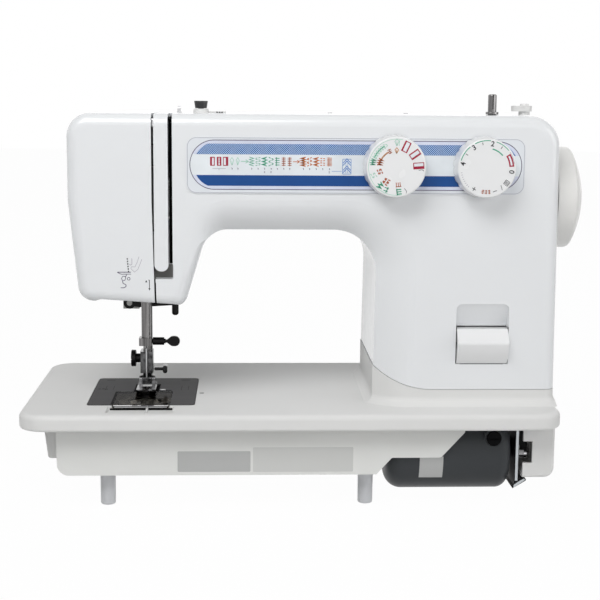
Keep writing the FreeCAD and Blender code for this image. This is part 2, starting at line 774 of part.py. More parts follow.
def pedestal_corners():
    """Plan of the column's foot, with the soft roll at its front left corner."""
    return [(COLUMN_LEFT, FRONT_Y + ROLL_COLUMN_DEPTH, THROUGH),
            (COLUMN_LEFT + PEDESTAL_ROLL, FRONT_Y, PEDESTAL_ROLL_R),
            (COLUMN_RIGHT, FRONT_Y, COVER_EDGE_R), (COLUMN_RIGHT, REAR_Y, COVER_EDGE_R),
            (COLUMN_LEFT, REAR_Y, COVER_EDGE_R)]


def pedestal():
    """Raised foot of the column: upright walls, a swept top and a flared skirt."""
    block = plate(pedestal_corners(), in_xy(-BED_SKIN),
                  V(0, 0, seam_height(COLUMN_LEFT) + BED_SKIN))
    block = block.common(below_seam(0, -BED_LIP))
    sections = []
    for step in range(FLARE_STEPS + 1):
        share = step / FLARE_STEPS
        spread = PEDESTAL_FLARE * (1 - share) ** FLARE_POWER
        height = PEDESTAL_FLARE_HEIGHT * share - SEAT_GAP
        sections.append(rounded_wire(spread_out(pedestal_corners(), spread), in_xy(height)))
    flare = Part.makeLoft(sections, True, True)
    return block.fuse(flare)


def bed_plan(inset, low, high):
    """The bed's rounded plan, set in from its edge, between two heights."""
    corners = rectangle(BED_LEFT + inset, BED_RIGHT - inset, inset, BED_DEPTH - inset,
                        BED_CORNER_R - inset)
    return plate(corners, in_xy(low), V(0, 0, high - low))


def bed():
    """Cast bed: rimmed top, pedestal, plate ledge, hook well, ribs, bearings and lugs."""
    slab = bed_plan(0, -BED_LIP, 0)
    slab = slab.makeFillet(BED_EDGE_R, edges_in_plane(slab, "Z", 0))
    slab = slab.makeFillet(BED_LOWER_R, edges_in_plane(slab, "Z", -BED_LIP))
    slab = slab.cut(bed_plan(ZAMAK, -BED_LIP - THROUGH, -BED_SKIN))
    foot = pedestal().common(bed_plan(0, -BED_LIP, STAND_HEIGHT))
    ribs = [box(x - WALL / 2, x + WALL / 2, ZAMAK, BED_DEPTH - ZAMAK, -BED_LIP, -BED_SKIN)
            for x in RIB_CENTRES_X]
    whole = slab.multiFuse([foot, side_rib()] + ribs + shaft_bearings())
    whole = whole.cut(pedestal_hollow())
    for opening in bed_openings():
        whole = whole.cut(opening)
    return whole.removeSplitter()


def pedestal_hollow():
    """Space inside the pedestal, closed by the bed's skin below."""
    return plate(spread_out(pedestal_corners(), -ZAMAK), in_xy(0), V(0, 0, STAND_HEIGHT))


def bed_openings():
    """Cuts for the needle plate, the hook well, the finger recess and the two belts."""
    low, high = -BED_LIP - THROUGH, THROUGH
    pocket = plate(rectangle(PLATE_X[0] - PLAY, PLATE_X[1] + PLAY, PLATE_Y[0] - PLAY,
                             PLATE_Y[1] + PLAY, PLATE_CORNER_R),
                   in_xy(PLATE_PROUD - PLATE_THICK), V(0, 0, STAND_HEIGHT))
    well = box(PLATE_X[0] + PLATE_LEDGE, PLATE_X[1] - PLATE_LEDGE, PLATE_Y[0] + PLATE_LEDGE,
               PLATE_Y[1] - PLATE_LEDGE, low, high)
    recess = plate(rectangle(RECESS_X[0], RECESS_X[1], RECESS_FRONT_Y, COVER_Y[0],
                             RECESS_R),
                   in_xy(-RECESS_DEPTH), V(0, 0, STAND_HEIGHT))
    front_seat = box(COVER_X[0] - PLAY, COVER_X[1] + PLAY, COVER_Y[0] - COVER_SEAT_RUN, PLATE_Y[0] + THROUGH,
                     PLATE_PROUD - PLATE_THICK, STAND_HEIGHT)
    timing = box(TIMING_X - TIMING_WIDTH, TIMING_X + TIMING_WIDTH,
                 SHAFT_Y - TIMING_TOP_R - BELT_ROOM, LOWER_SHAFT_Y + TIMING_TOP_R + BELT_ROOM,
                 low, high)
    drive = box(DRIVE_X - DRIVE_WIDTH, DRIVE_X + DRIVE_WIDTH,
                MOTOR_Y - DRIVE_SMALL_R - 2 * BELT_ROOM, SHAFT_Y + DRIVE_BIG_R + BELT_ROOM,
                low, high)
    return [pocket, well, recess, front_seat, timing, drive]


def side_rib():
    """Lug under the bed's left end, tapered towards its foot."""
    corners = [(SIDE_RIB_X[0], -BED_SKIN, 0), (SIDE_RIB_X[1], -BED_SKIN, 0),
               (SIDE_RIB_X[1], SIDE_RIB_Z, SIDE_RIB_R),
               (SIDE_RIB_X[0] + ZAMAK, SIDE_RIB_Z, SIDE_RIB_R)]
    return plate(corners, in_xz(SIDE_RIB_Y[0]), V(0, SIDE_RIB_Y[1] - SIDE_RIB_Y[0], 0))


def shaft_bearings():
    """Two hangers under the bed that carry the lower shaft."""
    hangers = []
    for x in LOWER_BEARINGS_X:
        reach = LOWER_SHAFT_R + ZAMAK
        web = box(x, x + LUG_THICK, LOWER_SHAFT_Y - reach, LOWER_SHAFT_Y + reach,
                  LOWER_SHAFT_Z, -BED_SKIN)
        ring = rod(reach, V(x, LOWER_SHAFT_Y, LOWER_SHAFT_Z),
                   V(x + LUG_THICK, LOWER_SHAFT_Y, LOWER_SHAFT_Z))
        bore = rod(LOWER_SHAFT_R + SHAFT_GAP, V(x - THROUGH, LOWER_SHAFT_Y, LOWER_SHAFT_Z),
                   V(x + LUG_THICK + THROUGH, LOWER_SHAFT_Y, LOWER_SHAFT_Z))
        hangers.append(web.fuse(ring).cut(bore))
    return hangers


def peg(x, y):
    """Tapered support peg, standing on the table."""
    top, foot = -BED_SKIN, -STAND_HEIGHT
    corners = [(top, 0, 0), (top, PEG_TOP_R, 0), (foot, PEG_FOOT_R, PEG_FOOT_EDGE_R), (foot, 0, 0)]
    return turned_z(corners, x, y)


def bottom_pan():
    """Open-topped tray under the bed, with an apron in front of the motor."""
    floor_z = PAN_FLOOR
    outer = plate([(PAN_LEFT, -BED_SKIN, 0), (PAN_LEFT, floor_z, PAN_CORNER_R),
                   (PAN_RIGHT, floor_z, PAN_EDGE_R), (PAN_RIGHT + PAN_WALL, floor_z + PAN_WALL, 0),
                   (PAN_RIGHT + PAN_WALL, -BED_SKIN, 0)],
                  in_xz(PAN_FRONT), V(0, PAN_REAR - PAN_FRONT, 0))
    inner = plate([(PAN_LEFT + PAN_WALL, THROUGH, 0),
                   (PAN_LEFT + PAN_WALL, floor_z + PAN_WALL, PAN_CORNER_R - PAN_WALL),
                   (PAN_RIGHT - THROUGH, floor_z + PAN_WALL, 0), (PAN_RIGHT - THROUGH, THROUGH, 0)],
                  in_xz(PAN_FRONT + PAN_WALL), V(0, PAN_REAR - PAN_FRONT - 2 * PAN_WALL, 0))
    apron = plate([(PAN_RIGHT, -BED_SKIN, 0), (PAN_RIGHT, floor_z, 0),
                   (PAN_RIGHT + THROUGH, floor_z, 0), (APRON_STEP_X, APRON_STEP_Z, APRON_R),
                   (APRON_LOW_X, APRON_STEP_Z, 2 * APRON_R), (APRON_TIP_X, APRON_TIP_Z, APRON_R),
                   (APRON_TIP_X + THROUGH, -BED_SKIN, 0)],
                  in_xz(PAN_FRONT), V(0, PAN_WALL, 0))
    notch_r = LOWER_SHAFT_R + SEAT_GAP + THROUGH
    notch = box(PAN_RIGHT - ZAMAK, PAN_RIGHT + ZAMAK, LOWER_SHAFT_Y - notch_r,
                LOWER_SHAFT_Y + notch_r, LOWER_SHAFT_Z, STAND_HEIGHT)
    notch = notch.fuse(rod(notch_r, V(PAN_RIGHT - ZAMAK, LOWER_SHAFT_Y, LOWER_SHAFT_Z),
                           V(PAN_RIGHT + ZAMAK, LOWER_SHAFT_Y, LOWER_SHAFT_Z)))
    tray = outer.cut(inner).fuse(apron).cut(notch)
    for x in PEG_X:
        for y in PEG_Y:
            tray = tray.cut(rod(PEG_TOP_R + SEAT_GAP, V(x, y, floor_z - THROUGH), V(x, y, 0)))
    for x in RIB_CENTRES_X:
        tray = tray.cut(box(x - WALL, x + WALL, 0, BED_DEPTH, -BED_LIP - SEAT_GAP, 0))
    return tray


# ---- covers --------------------------------------------------------------------------------
def housing_corners():
    """Front outline of the head, arm and column."""
    return [(HEAD_LEFT, ARM_TOP, TOP_LEFT_R), (COLUMN_RIGHT_TOP, ARM_TOP, TOP_RIGHT_R),
            (COLUMN_RIGHT, 0, 0), (COLUMN_LEFT, 0, 0),
            (COLUMN_LEFT_TOP, ARM_UNDER, ARM_CORNER_R), (HEAD_BROW_X, ARM_UNDER, BROW_R),
            (HEAD_HEEL_X, HEAD_BOTTOM, HEEL_R), (HEAD_WAIST_X, HEAD_BOTTOM_LEFT_Z, CHIN_R),
            (HEAD_LEFT, HEAD_SIDE_BEND_Z, HEAD_SIDE_BEND_R)]


def housing(inset):
    """Solid of the covers' outer shape, or of their inside when set in by the wall."""
    face = Part.Face(rounded_wire(housing_corners(), in_xz(FRONT_Y + inset)))
    if inset:
        face = face.makeOffset2D(-inset)
    block = face.extrude(V(0, REAR_Y - FRONT_Y - 2 * inset, 0))
    rims = edges_in_plane(block, "Y", FRONT_Y + inset) + edges_in_plane(block, "Y", REAR_Y - inset)
    return block.makeFillet(COVER_EDGE_R - inset, rims).cut(arch_roll(inset))


def roll_depth(index):
    """Depth of the soft roll at one of its stations along the arch's edge."""
    brow_start = ROLL_RUN_STEPS
    brow_end = brow_start + ROLL_BEND_STEPS
    corner_start = brow_end + ROLL_RUN_STEPS
    if index <= brow_start:
        return ROLL_SLOPE
    if index < brow_end:
        share = (index - brow_start) / ROLL_BEND_STEPS
        share = share * share * (3 - 2 * share)
        return ROLL_SLOPE + (ROLL_UNDER_DEPTH - ROLL_SLOPE) * share
    share = min(max((index - corner_start) / ROLL_BEND_STEPS, 0), 1)
    return ROLL_UNDER_DEPTH + (ROLL_COLUMN_DEPTH - ROLL_UNDER_DEPTH) * share


def arch_roll(inset):
    """What the soft roll takes off the front, from the head's slope round to the column."""
    low = HEAD_BOTTOM - TOP_LEFT_R
    slope = (HEAD_BROW_X - HEAD_HEEL_X) / (ARM_UNDER - HEAD_BOTTOM)
    start_x = HEAD_BROW_X - (ARM_UNDER - low) * slope
    edge = [(start_x, low, 0), (HEAD_BROW_X, ARM_UNDER, BROW_R),
            (COLUMN_LEFT_TOP, ARM_UNDER, ARM_CORNER_R), (COLUMN_LEFT, -BED_LIP, 0)]
    crease_z = ARM_UNDER + ROLL_UNDER
    crease = [(start_x - ROLL_SLOPE, low, 0),
              (HEAD_BROW_X - ROLL_SLOPE - ROLL_BROW_SHIFT, crease_z, BROW_R + ROLL_UNDER / 2),
              (COLUMN_LEFT_TOP + ROLL_COLUMN, crease_z, ARM_CORNER_R + ROLL_UNDER),
              (COLUMN_LEFT + ROLL_COLUMN, -BED_LIP, 0)]
    outer = open_line(edge, ROLL_RUN_STEPS, ROLL_BEND_STEPS)
    inner = open_line(crease, ROLL_RUN_STEPS, ROLL_BEND_STEPS)
    rows = []
    for index, (near, far) in enumerate(zip(outer, inner)):
        row = []
        for station in ROLL_STATIONS:
            rise = math.copysign(abs(1 - station) ** ROLL_POWER, 1 - station)
            spot = near + (far - near) * station
            row.append(V(spot.x, FRONT_Y + inset + roll_depth(index) * rise, spot.y))
        rows.append(row)
    surface = Part.BSplineSurface()
    surface.interpolate(rows)
    return surface.toShape().extrude(V(0, -FRONT_Y - SPLIT_Y, 0))


def covers():
    """Hollow shell of all the arm covers in one, before it is parted."""
    shell = housing(0).cut(housing(WALL))
    shell = shell.cut(below_seam(SEAM_GAP, -BED_LIP))
    mouth = plate(rectangle(HEAD_WAIST_X + CHIN_R, HEAD_HEEL_X - WALL, FRONT_Y + WALL,
                            REAR_Y - WALL, COVER_EDGE_R - WALL),
                  in_xy(0), V(0, 0, HEAD_BOTTOM + COVER_EDGE_R + ZAMAK))
    return shell.cut(mouth)


def left_of_face_edge(shift, low=0.0, high=ARM_TOP + THROUGH):
    """Region to the left of the face cover's slanted edge, moved right by shift."""
    corners = [(HEAD_LEFT - ZAMAK, low, 0), (FACE_EDGE_LOW_X + shift, low, 0),
               (FACE_EDGE_LOW_X + shift, HEAD_BOTTOM, 0),
               (FACE_EDGE_TOP_X + shift, HEAD_SIDE_BEND_Z, 0),
               (FACE_EDGE_TOP_X + shift, high, 0), (HEAD_LEFT - ZAMAK, high, 0)]
    return plate(corners, in_xz(0), V(0, BED_DEPTH, 0))


def face_knuckle(z, radius):
    """Space of one hinge knuckle at the face cover's rear edge."""
    return rod(radius, V(FACE_EDGE_TOP_X, FACE_HINGE_Y, z),
               V(FACE_EDGE_TOP_X, FACE_HINGE_Y, z + FACE_KNUCKLE_H))


def face_cover(shell):
    """Swing-out cover over the left end of the head, with its hinge knuckles."""
    part = biggest(shell.common(left_of_face_edge(0)))
    for z in FACE_KNUCKLES_Z:
        for level in (z - FACE_KNUCKLE_H - SEAT_GAP, z + FACE_KNUCKLE_H + SEAT_GAP):
            part = part.cut(face_knuckle(level, FACE_HINGE_R + SEAT_GAP))
        part = part.fuse(face_knuckle(z, FACE_HINGE_R))
    return part.cut(face_pin_line(FACE_PIN_R + SHAFT_GAP)).removeSplitter()


def face_pin_line(radius):
    """Full-height line of the face cover's hinge pin."""
    low = FACE_KNUCKLES_Z[0] - FACE_KNUCKLE_H
    high = FACE_KNUCKLES_Z[1] + 2 * FACE_KNUCKLE_H
    return rod(radius, V(FACE_EDGE_TOP_X, FACE_HINGE_Y, low),
               V(FACE_EDGE_TOP_X, FACE_HINGE_Y, high))


def arm_shell(shell):
    """The fixed part of the covers, still in one piece, with its hinge knuckles."""
    part = biggest(shell.cut(left_of_face_edge(SEAM_WIDTH)))
    for z in FACE_KNUCKLES_Z:
        part = part.cut(face_knuckle(z, FACE_HINGE_R + SEAT_GAP))
        for level in (z - FACE_KNUCKLE_H - SEAT_GAP, z + FACE_KNUCKLE_H + SEAT_GAP):
            part = part.fuse(face_knuckle(level, FACE_HINGE_R))
    return part.cut(face_pin_line(FACE_PIN_R))


def channel_space():
    """Cut for the two thread slots, the tongue between them and the pocket below."""
    slot = box(FACE_EDGE_TOP_X - THROUGH, CHANNEL_RIGHT, 0, CHANNEL_DEPTH_Y,
               CHANNEL_FLOOR_Z + ZAMAK, ARM_TOP + THROUGH)
    pocket = plate(rectangle(FACE_EDGE_TOP_X - THROUGH, CHANNEL_RIGHT + THROUGH / 2,
                             CHANNEL_FLOOR_Z, CHANNEL_FLOOR_Z + 2 * ZAMAK, POCKET_EDGE_R),
                   in_xz(0), V(0, FRONT_Y + ZAMAK, 0))
    return slot.fuse(pocket)


def channel_plate():
    """Tongue between the thread slots, with a web that carries it inside the head."""
    tongue = plate([(TONGUE_LEFT, ARM_TOP, 0), (TONGUE_RIGHT, ARM_TOP, 0),
                    (TONGUE_RIGHT, TONGUE_TIP_Z, TONGUE_TIP_R), (TONGUE_LEFT, TONGUE_TIP_Z, TONGUE_TIP_R)],
                   in_xz(FRONT_Y), V(0, TONGUE_THICK, 0))
    cap = box(TONGUE_LEFT, TONGUE_RIGHT, FRONT_Y, CHANNEL_DEPTH_Y, ARM_TOP - WALL, ARM_TOP)
    corner = box(TONGUE_LEFT, TONGUE_RIGHT, FRONT_Y, FRONT_Y + COVER_EDGE_R,
                 ARM_TOP - COVER_EDGE_R, ARM_TOP)
    return join(tongue, cap, corner).common(housing(0))


def front_cover(fixed_shell):
    """Front half of the fixed covers: thread channel, control openings and reverse scoop."""
    part = fixed_shell.common(box(HEAD_LEFT - ZAMAK, COLUMN_RIGHT + ZAMAK, 0, SPLIT_Y, 0,
                                  ARM_TOP + THROUGH))
    part = part.cut(channel_space())
    for x, z in ((SELECTOR_X, SELECTOR_Z), (LENGTH_X, LENGTH_Z)):
        part = part.cut(rod(DIAL_SHAFT_R + SHAFT_GAP, V(x, 0, z), V(x, SPLIT_Y, z)))
    part = part.cut(reverse_window()).cut(lever_sweep())
    part = part.cut(shaft_line(SHAFT_R + THROUGH, COLUMN_RIGHT_TOP - 2 * ZAMAK,
                               COLUMN_RIGHT + ZAMAK))
    part = part.cut(winder_slot())
    return join(part, pocket_walls(), reverse_scoop())


def pocket_walls():
    """Floor, back and right side of the shallow pocket under the tongue."""
    left, right = FACE_EDGE_TOP_X + SEAM_WIDTH + THROUGH, CHANNEL_RIGHT + THROUGH / 2
    back = FRONT_Y + POCKET_BACK_Y
    top = CHANNEL_FLOOR_Z + 2 * ZAMAK
    floor = box(left, right + WALL, FRONT_Y + THROUGH, back, CHANNEL_FLOOR_Z - WALL,
                CHANNEL_FLOOR_Z)
    rear = box(left, right + WALL, back, back + WALL, CHANNEL_FLOOR_Z - WALL, top)
    side = box(right, right + WALL, FRONT_Y + THROUGH, back, CHANNEL_FLOOR_Z - WALL, top)
    return join(floor, rear, side)


def reverse_window():
    """Opening for the reverse lever through the column's front."""
    corners = rectangle(REVERSE_X[0], REVERSE_X[1], REVERSE_Z[0], REVERSE_Z[1], REVERSE_CORNER_R)
    return plate(corners, in_xz(0), V(0, FRONT_Y + ZAMAK, 0))


def reverse_scoop():
    """Sloped finger scoop above the reverse lever, with cheeks down both sides."""
    slope = [(FRONT_Y + THROUGH / 2, REVERSE_Z[1], 0), (FRONT_Y + WALL, REVERSE_Z[1] + WALL, 0),
             (SCOOP_BACK_Y + WALL, SCOOP_FOOT_Z + THROUGH, 0), (SCOOP_BACK_Y, SCOOP_FOOT_Z, 0)]
    ramp = plate(slope, in_yz(REVERSE_X[0] - THROUGH),
                 V(REVERSE_X[1] - REVERSE_X[0] + 2 * THROUGH, 0, 0))
    cheek = [(FRONT_Y + THROUGH / 2, REVERSE_Z[0] - THROUGH, 0),
             (FRONT_Y + THROUGH / 2, REVERSE_Z[1] + THROUGH, 0),
             (FRONT_Y + WALL, REVERSE_Z[1] + WALL, 0),
             (SCOOP_BACK_Y + WALL, SCOOP_FOOT_Z + THROUGH, 0),
             (SCOOP_BACK_Y + WALL, REVERSE_Z[0] - THROUGH, 0)]
    left = plate(cheek, in_yz(REVERSE_X[0] - WALL), V(WALL, 0, 0))
    right = plate(cheek, in_yz(REVERSE_X[1]), V(WALL, 0, 0))
    return join(ramp, left, right)


def lever_sweep():
    """Room below the opening's lower edge for the lever's drum to slide down behind it."""
    sweep = rod(REVERSE_DRUM_R + SEAT_GAP, V(REVERSE_X[0], REVERSE_PIVOT_Y, REVERSE_PIVOT_Z),
                V(REVERSE_X[1], REVERSE_PIVOT_Y, REVERSE_PIVOT_Z))
    return sweep.common(box(REVERSE_X[0], REVERSE_X[1], 0, SPLIT_Y, 0,
                            REVERSE_Z[0] + REVERSE_CORNER_R))


def reverse_lever():
    """Drum-faced lever that is pressed down; its pivot pin is part of it."""
    left, right = REVERSE_X[0] + 2 * SEAT_GAP, REVERSE_X[1] - 2 * SEAT_GAP
    middle = V((left + right) / 2, 0, 0)
    centre = V(0, REVERSE_PIVOT_Y, REVERSE_PIVOT_Z)
    front, back = REVERSE_PIVOT_Y - REVERSE_DRUM_R - THROUGH, FRONT_Y + 2 * ZAMAK
    outline = [(front, REVERSE_Z[0] + PLAY, 0),
               (front, REVERSE_LEDGE_Z - LEDGE_DROP * (FRONT_Y - front), 0),
               (FRONT_Y, REVERSE_LEDGE_Z, THROUGH), (back, REVERSE_LEDGE_Z, 0),
               (back, REVERSE_Z[0] + PLAY, 0)]
    body = plate(outline, in_yz(left), V(right - left, 0, 0))
    body = body.common(rod(REVERSE_DRUM_R, V(left, 0, 0) + centre, V(right, 0, 0) + centre))
    edge_z = REVERSE_LEDGE_Z - LEDGE_THICK
    body = body.makeFillet(LEDGE_EDGE_R, [edge_near(body, middle + V(0, front, edge_z))])
    hollow = rod(REVERSE_DRUM_R - ZAMAK, V(left - THROUGH, 0, 0) + centre,
                 V(right + THROUGH, 0, 0) + centre)
    hollow = hollow.common(box(left - THROUGH, right + THROUGH, 0, REVERSE_PIVOT_Y, 0, edge_z))
    inset, drop = V(2 * ZAMAK, 0, 0), V(0, 0, REVERSE_HUB_DROP)
    arm = box(left + inset.x, right - inset.x, back - THROUGH, REVERSE_PIVOT_Y,
              edge_z, REVERSE_LEDGE_Z - REVERSE_HUB_DROP)
    hub = rod(2 * REVERSE_PIN_R, V(left, 0, 0) + centre + inset - drop,
              V(right, 0, 0) + centre - inset - drop)
    pin = rod(REVERSE_PIN_R, V(left, 0, 0) + centre, V(right, 0, 0) + centre)
    return join(body.cut(hollow), arm, hub, pin)


def winder_slot():
    """Slot in the arm's top for the bobbin winder's spindle and its travel."""
    reach = WINDER_R + PLAY
    slot = box(WINDER_X, WINDER_X + WINDER_TRAVEL, WINDER_Y - reach, WINDER_Y + reach,
               ARM_TOP - 2 * WALL, ARM_TOP + THROUGH)
    for x in (WINDER_X, WINDER_X + WINDER_TRAVEL):
        slot = slot.fuse(rod(reach, V(x, WINDER_Y, ARM_TOP - 2 * WALL),
                             V(x, WINDER_Y, ARM_TOP + THROUGH)))
    return slot


def rear_cover(fixed_shell):
    """Rear half of the fixed covers, with bushes for the thread pins."""
    part = fixed_shell.common(box(HEAD_LEFT - ZAMAK, COLUMN_RIGHT + ZAMAK, SPLIT_Y, REAR_Y + ZAMAK,
                                  0, ARM_TOP + THROUGH))
    for x in PIN_X:
        boss = rod(PIN_R + WALL, V(x, PIN_Y, ARM_TOP - 3 * ZAMAK), V(x, PIN_Y, ARM_TOP - THROUGH))
        part = part.fuse(boss)
        part = part.cut(rod(PIN_R + SHAFT_GAP, V(x, PIN_Y, SHAFT_Z), V(x, PIN_Y, ARM_TOP + THROUGH)))
    for x, z in COVER_SCREWS:
        part = part.cut(rod(SCREW_R + SHAFT_GAP, V(x, SPLIT_Y, z), V(x, REAR_Y + THROUGH, z)))
    return part.removeSplitter()


def cover_screws():
    """Screws through the rear cover into the frame."""
    screws = []
    for x, z in COVER_SCREWS:
        shank = rod(SCREW_R, V(x, BEAM_Y[1] - 2 * ZAMAK, z), V(x, REAR_Y, z))
        top = REAR_Y + SCREW_HEAD
        head = turned_y([(REAR_Y, 0, 0), (top, 0, 0), (top, SCREW_HEAD_R, SOFT_R),
                         (REAR_Y, SCREW_HEAD_R, 0)], x, z)
        slot = box(x - SCREW_HEAD_R, x + SCREW_HEAD_R, top - SCREW_SLOT_DEPTH, top + THROUGH,
                   z - SLIT / 2, z + SLIT / 2)
        screws.append(shank.fuse(head).cut(slot))
    return Part.makeCompound(screws)


def shaft_line(radius, x0, x1):
    """Round bar on the main shaft's line."""
    return rod(radius, V(x0, SHAFT_Y, SHAFT_Z), V(x1, SHAFT_Y, SHAFT_Z))


# ---- cast frame --------------------------------------------------------------------------------
def arm_frame():
    """Cast skeleton: post, arm beam, shaft lugs, and the head block for both bars."""
    depth = BEAM_Y[1] - BEAM_Y[0]
    outline = [(BEAM_X[0], BEAM_Z[1], BEAM_TOP_R), (BEAM_X[1], BEAM_Z[1], BEAM_TOP_R),
               (BEAM_X[1], BEAM_Z[0], BEAM_LOW_R), (POST_X[1], BEAM_Z[0], POST_ROOT_R),
               (POST_X[1], 0, 0), (POST_X[0], 0, 0), (POST_X[0], BEAM_Z[0], POST_ROOT_R),
               (BEAM_X[0], BEAM_Z[0], BEAM_LOW_R)]
    body = plate(outline, in_xz(BEAM_Y[0]), V(0, depth, 0))
    for pocket in beam_pockets():
        body = body.cut(pocket)
    lugs = [shaft_lug(x) for x in SHAFT_LUGS_X]
    whole = join(body, head_block(), *lugs)
    for x, z in COVER_SCREWS:
        whole = whole.cut(rod(SCREW_R, V(x, BEAM_Y[1] - 2 * ZAMAK, z), V(x, REAR_Y, z)))
    return whole


def beam_pockets():
    """Weight-saving pockets in the front of the beam and the post."""
    first, last = BEAM_X[0] + 2 * ZAMAK + LUG_R, POST_X[0] - ZAMAK
    pitch = (last - first) / BEAM_BAYS
    pockets = []
    for bay in range(BEAM_BAYS):
        start = first + bay * pitch
        pockets.append(plate(rectangle(start, start + pitch - ZAMAK, BEAM_Z[0] + ZAMAK,
                                       BEAM_Z[1] - ZAMAK, BAY_R), in_xz(BEAM_Y[0] - THROUGH),
                             V(0, (BEAM_Y[1] - BEAM_Y[0]) / 2, 0)))
    pockets.append(plate(rectangle(POST_X[0] + ZAMAK, POST_X[1] - ZAMAK, 2 * ZAMAK,
                                   BEAM_Z[0] - ZAMAK, BAY_R), in_xz(BEAM_Y[0] - THROUGH),
                         V(0, (BEAM_Y[1] - BEAM_Y[0]) / 2, 0)))
    return pockets


def shaft_lug(x):
    """Arm from the beam forward to the main shaft, with its bearing bore."""
    ring = shaft_line(LUG_R, x, x + LUG_THICK)
    web = box(x, x + LUG_THICK, SHAFT_Y, sum(BEAM_Y) / 2 + THROUGH, SHAFT_Z - LUG_R + LUG_STEP,
              SHAFT_Z + LUG_R - LUG_STEP)
    return ring.fuse(web).cut(shaft_line(SHAFT_R + SHAFT_GAP, x - THROUGH, x + LUG_THICK + THROUGH))


def head_block():
    """Bearing blocks for the needle and presser bars, and the lifter's pivot lug."""
    left, right = NEEDLE_X - NEEDLE_BAR_R - BUSH_WALL, NEEDLE_X + NEEDLE_BAR_R + BUSH_WALL
    spine = box(left, right, PRESSER_Y + 2 * PRESSER_BAR_R + SPINE_GAP, BEAM_Y[1],
                LOWER_BUSH_Z[0], BEAM_Z[1])
    whole = spine
    for low, high in (LOWER_BUSH_Z, UPPER_BUSH_Z):
        block = plate(rectangle(left, right, NEEDLE_Y - NEEDLE_BAR_R - BUSH_WALL, BEAM_Y[0],
                                BUSH_WALL), in_xy(low), V(0, 0, high - low))
        whole = whole.fuse(block)
    lug = box(LIFTER_PIVOT_X - ZAMAK, left + THROUGH, LIFTER_Y[1] + SEAT_GAP,
              LIFTER_Y[1] + SEAT_GAP + 2 * ZAMAK, LIFTER_Z - ZAMAK, LOWER_BUSH_Z[1])
    pin = rod(LIFTER_PIN_R, V(LIFTER_PIVOT_X, LIFTER_Y[0] - THROUGH, LIFTER_Z),
              V(LIFTER_PIVOT_X, LIFTER_Y[1] + ZAMAK, LIFTER_Z))
    root = V(TAKE_UP_X[0] - TAKE_UP_BOSS, TAKE_UP_PIVOT_Y, TAKE_UP_PIVOT_Z)
    pivot = rod(ZAMAK - THROUGH, root,
                V(TAKE_UP_X[0] - SEAT_GAP, TAKE_UP_PIVOT_Y, TAKE_UP_PIVOT_Z))
    stud = rod(TAKE_UP_STUD_R, root,
               V(TAKE_UP_X[1] + THROUGH, TAKE_UP_PIVOT_Y, TAKE_UP_PIVOT_Z))
    whole = whole.multiFuse([lug, pin, pivot, stud])
    for y, radius in ((NEEDLE_Y, NEEDLE_BAR_R), (PRESSER_Y, PRESSER_BAR_R)):
        whole = whole.cut(rod(radius + SHAFT_GAP, V(NEEDLE_X, y, 0), V(NEEDLE_X, y, ARM_TOP)))
    return whole


# ---- main shaft and hand wheel ----------------------------------------------------------------------
def crank_pin_spot():
    """Depth and height of the crank pin at rest."""
    angle = math.radians(CRANK_ANGLE)
    return SHAFT_Y - CRANK_THROW * math.sin(angle), SHAFT_Z + CRANK_THROW * math.cos(angle)


def main_shaft():
    """Main shaft with its crank disc and crank pin."""
    pin_y, pin_z = crank_pin_spot()
    disc_left = SHAFT_LEFT - CRANK_THICK + CRANK_SEAT
    shaft = shaft_line(SHAFT_R, SHAFT_LEFT, COLUMN_RIGHT + WHEEL_RIM)
    disc = shaft_line(CRANK_R, disc_left, disc_left + CRANK_THICK)
    relief = box(disc_left - THROUGH, disc_left + CRANK_THICK + THROUGH, 0, BED_DEPTH,
                 SHAFT_Z + CRANK_R / 2, ARM_TOP)
    boss = rod(CRANK_PIN_R + CRANK_BOSS, V(disc_left, pin_y, pin_z),
               V(disc_left + CRANK_THICK, pin_y, pin_z))
    pin = rod(CRANK_PIN_R, V(ROD_X[1] + SEAT_GAP, pin_y, pin_z), V(disc_left, pin_y, pin_z))
    return join(shaft, disc.cut(relief), boss, pin)


def pulley(x, width, radius, y, z, bore):
    """Flanged belt pulley on a line along X."""
    half = width / 2 + SEAT_GAP
    rim = radius + FLANGE_RISE
    left, right = x - half - FLANGE_THICK, x + half + FLANGE_THICK
    return turned_x([(left, bore, 0), (left, rim, FLANGE_EDGE_R), (x - half, rim, 0),
                     (x - half, radius, 0), (x + half, radius, 0), (x + half, rim, 0),
                     (right, rim, FLANGE_EDGE_R), (right, bore, 0)], y, z)


def hull(centre_a, radius_a, centre_b, radius_b, x):
    """Face bounded by two circles and the straight runs between them, at station x."""
    dy, dz = centre_b[0] - centre_a[0], centre_b[1] - centre_a[1]
    heading = math.atan2(dz, dy)
    spread = math.acos((radius_a - radius_b) / math.hypot(dy, dz))

    def spot(centre, radius, angle):
        return V(x, centre[0] + radius * math.cos(angle), centre[1] + radius * math.sin(angle))

    high, low = heading + spread, heading - spread
    far_arc = Part.Arc(spot(centre_a, radius_a, high), spot(centre_a, radius_a, heading + math.pi),
                       spot(centre_a, radius_a, low)).toShape()
    near_arc = Part.Arc(spot(centre_b, radius_b, low), spot(centre_b, radius_b, heading),
                        spot(centre_b, radius_b, high)).toShape()
    runs = [Part.makeLine(spot(centre_a, radius_a, low), spot(centre_b, radius_b, low)),
            Part.makeLine(spot(centre_b, radius_b, high), spot(centre_a, radius_a, high))]
    return Part.Face(Part.Wire([far_arc, runs[0], near_arc, runs[1]]))


def belt(x, width, centre_a, radius_a, centre_b, radius_b):
    """Endless belt round two pulleys."""
    start = x - width / 2
    push = V(width, 0, 0)
    inner, outer = SEAT_GAP, SEAT_GAP + BELT_THICK
    solid = hull(centre_a, radius_a + outer, centre_b, radius_b + outer, start).extrude(push)
    return solid.cut(hull(centre_a, radius_a + inner, centre_b, radius_b + inner, start).extrude(push))


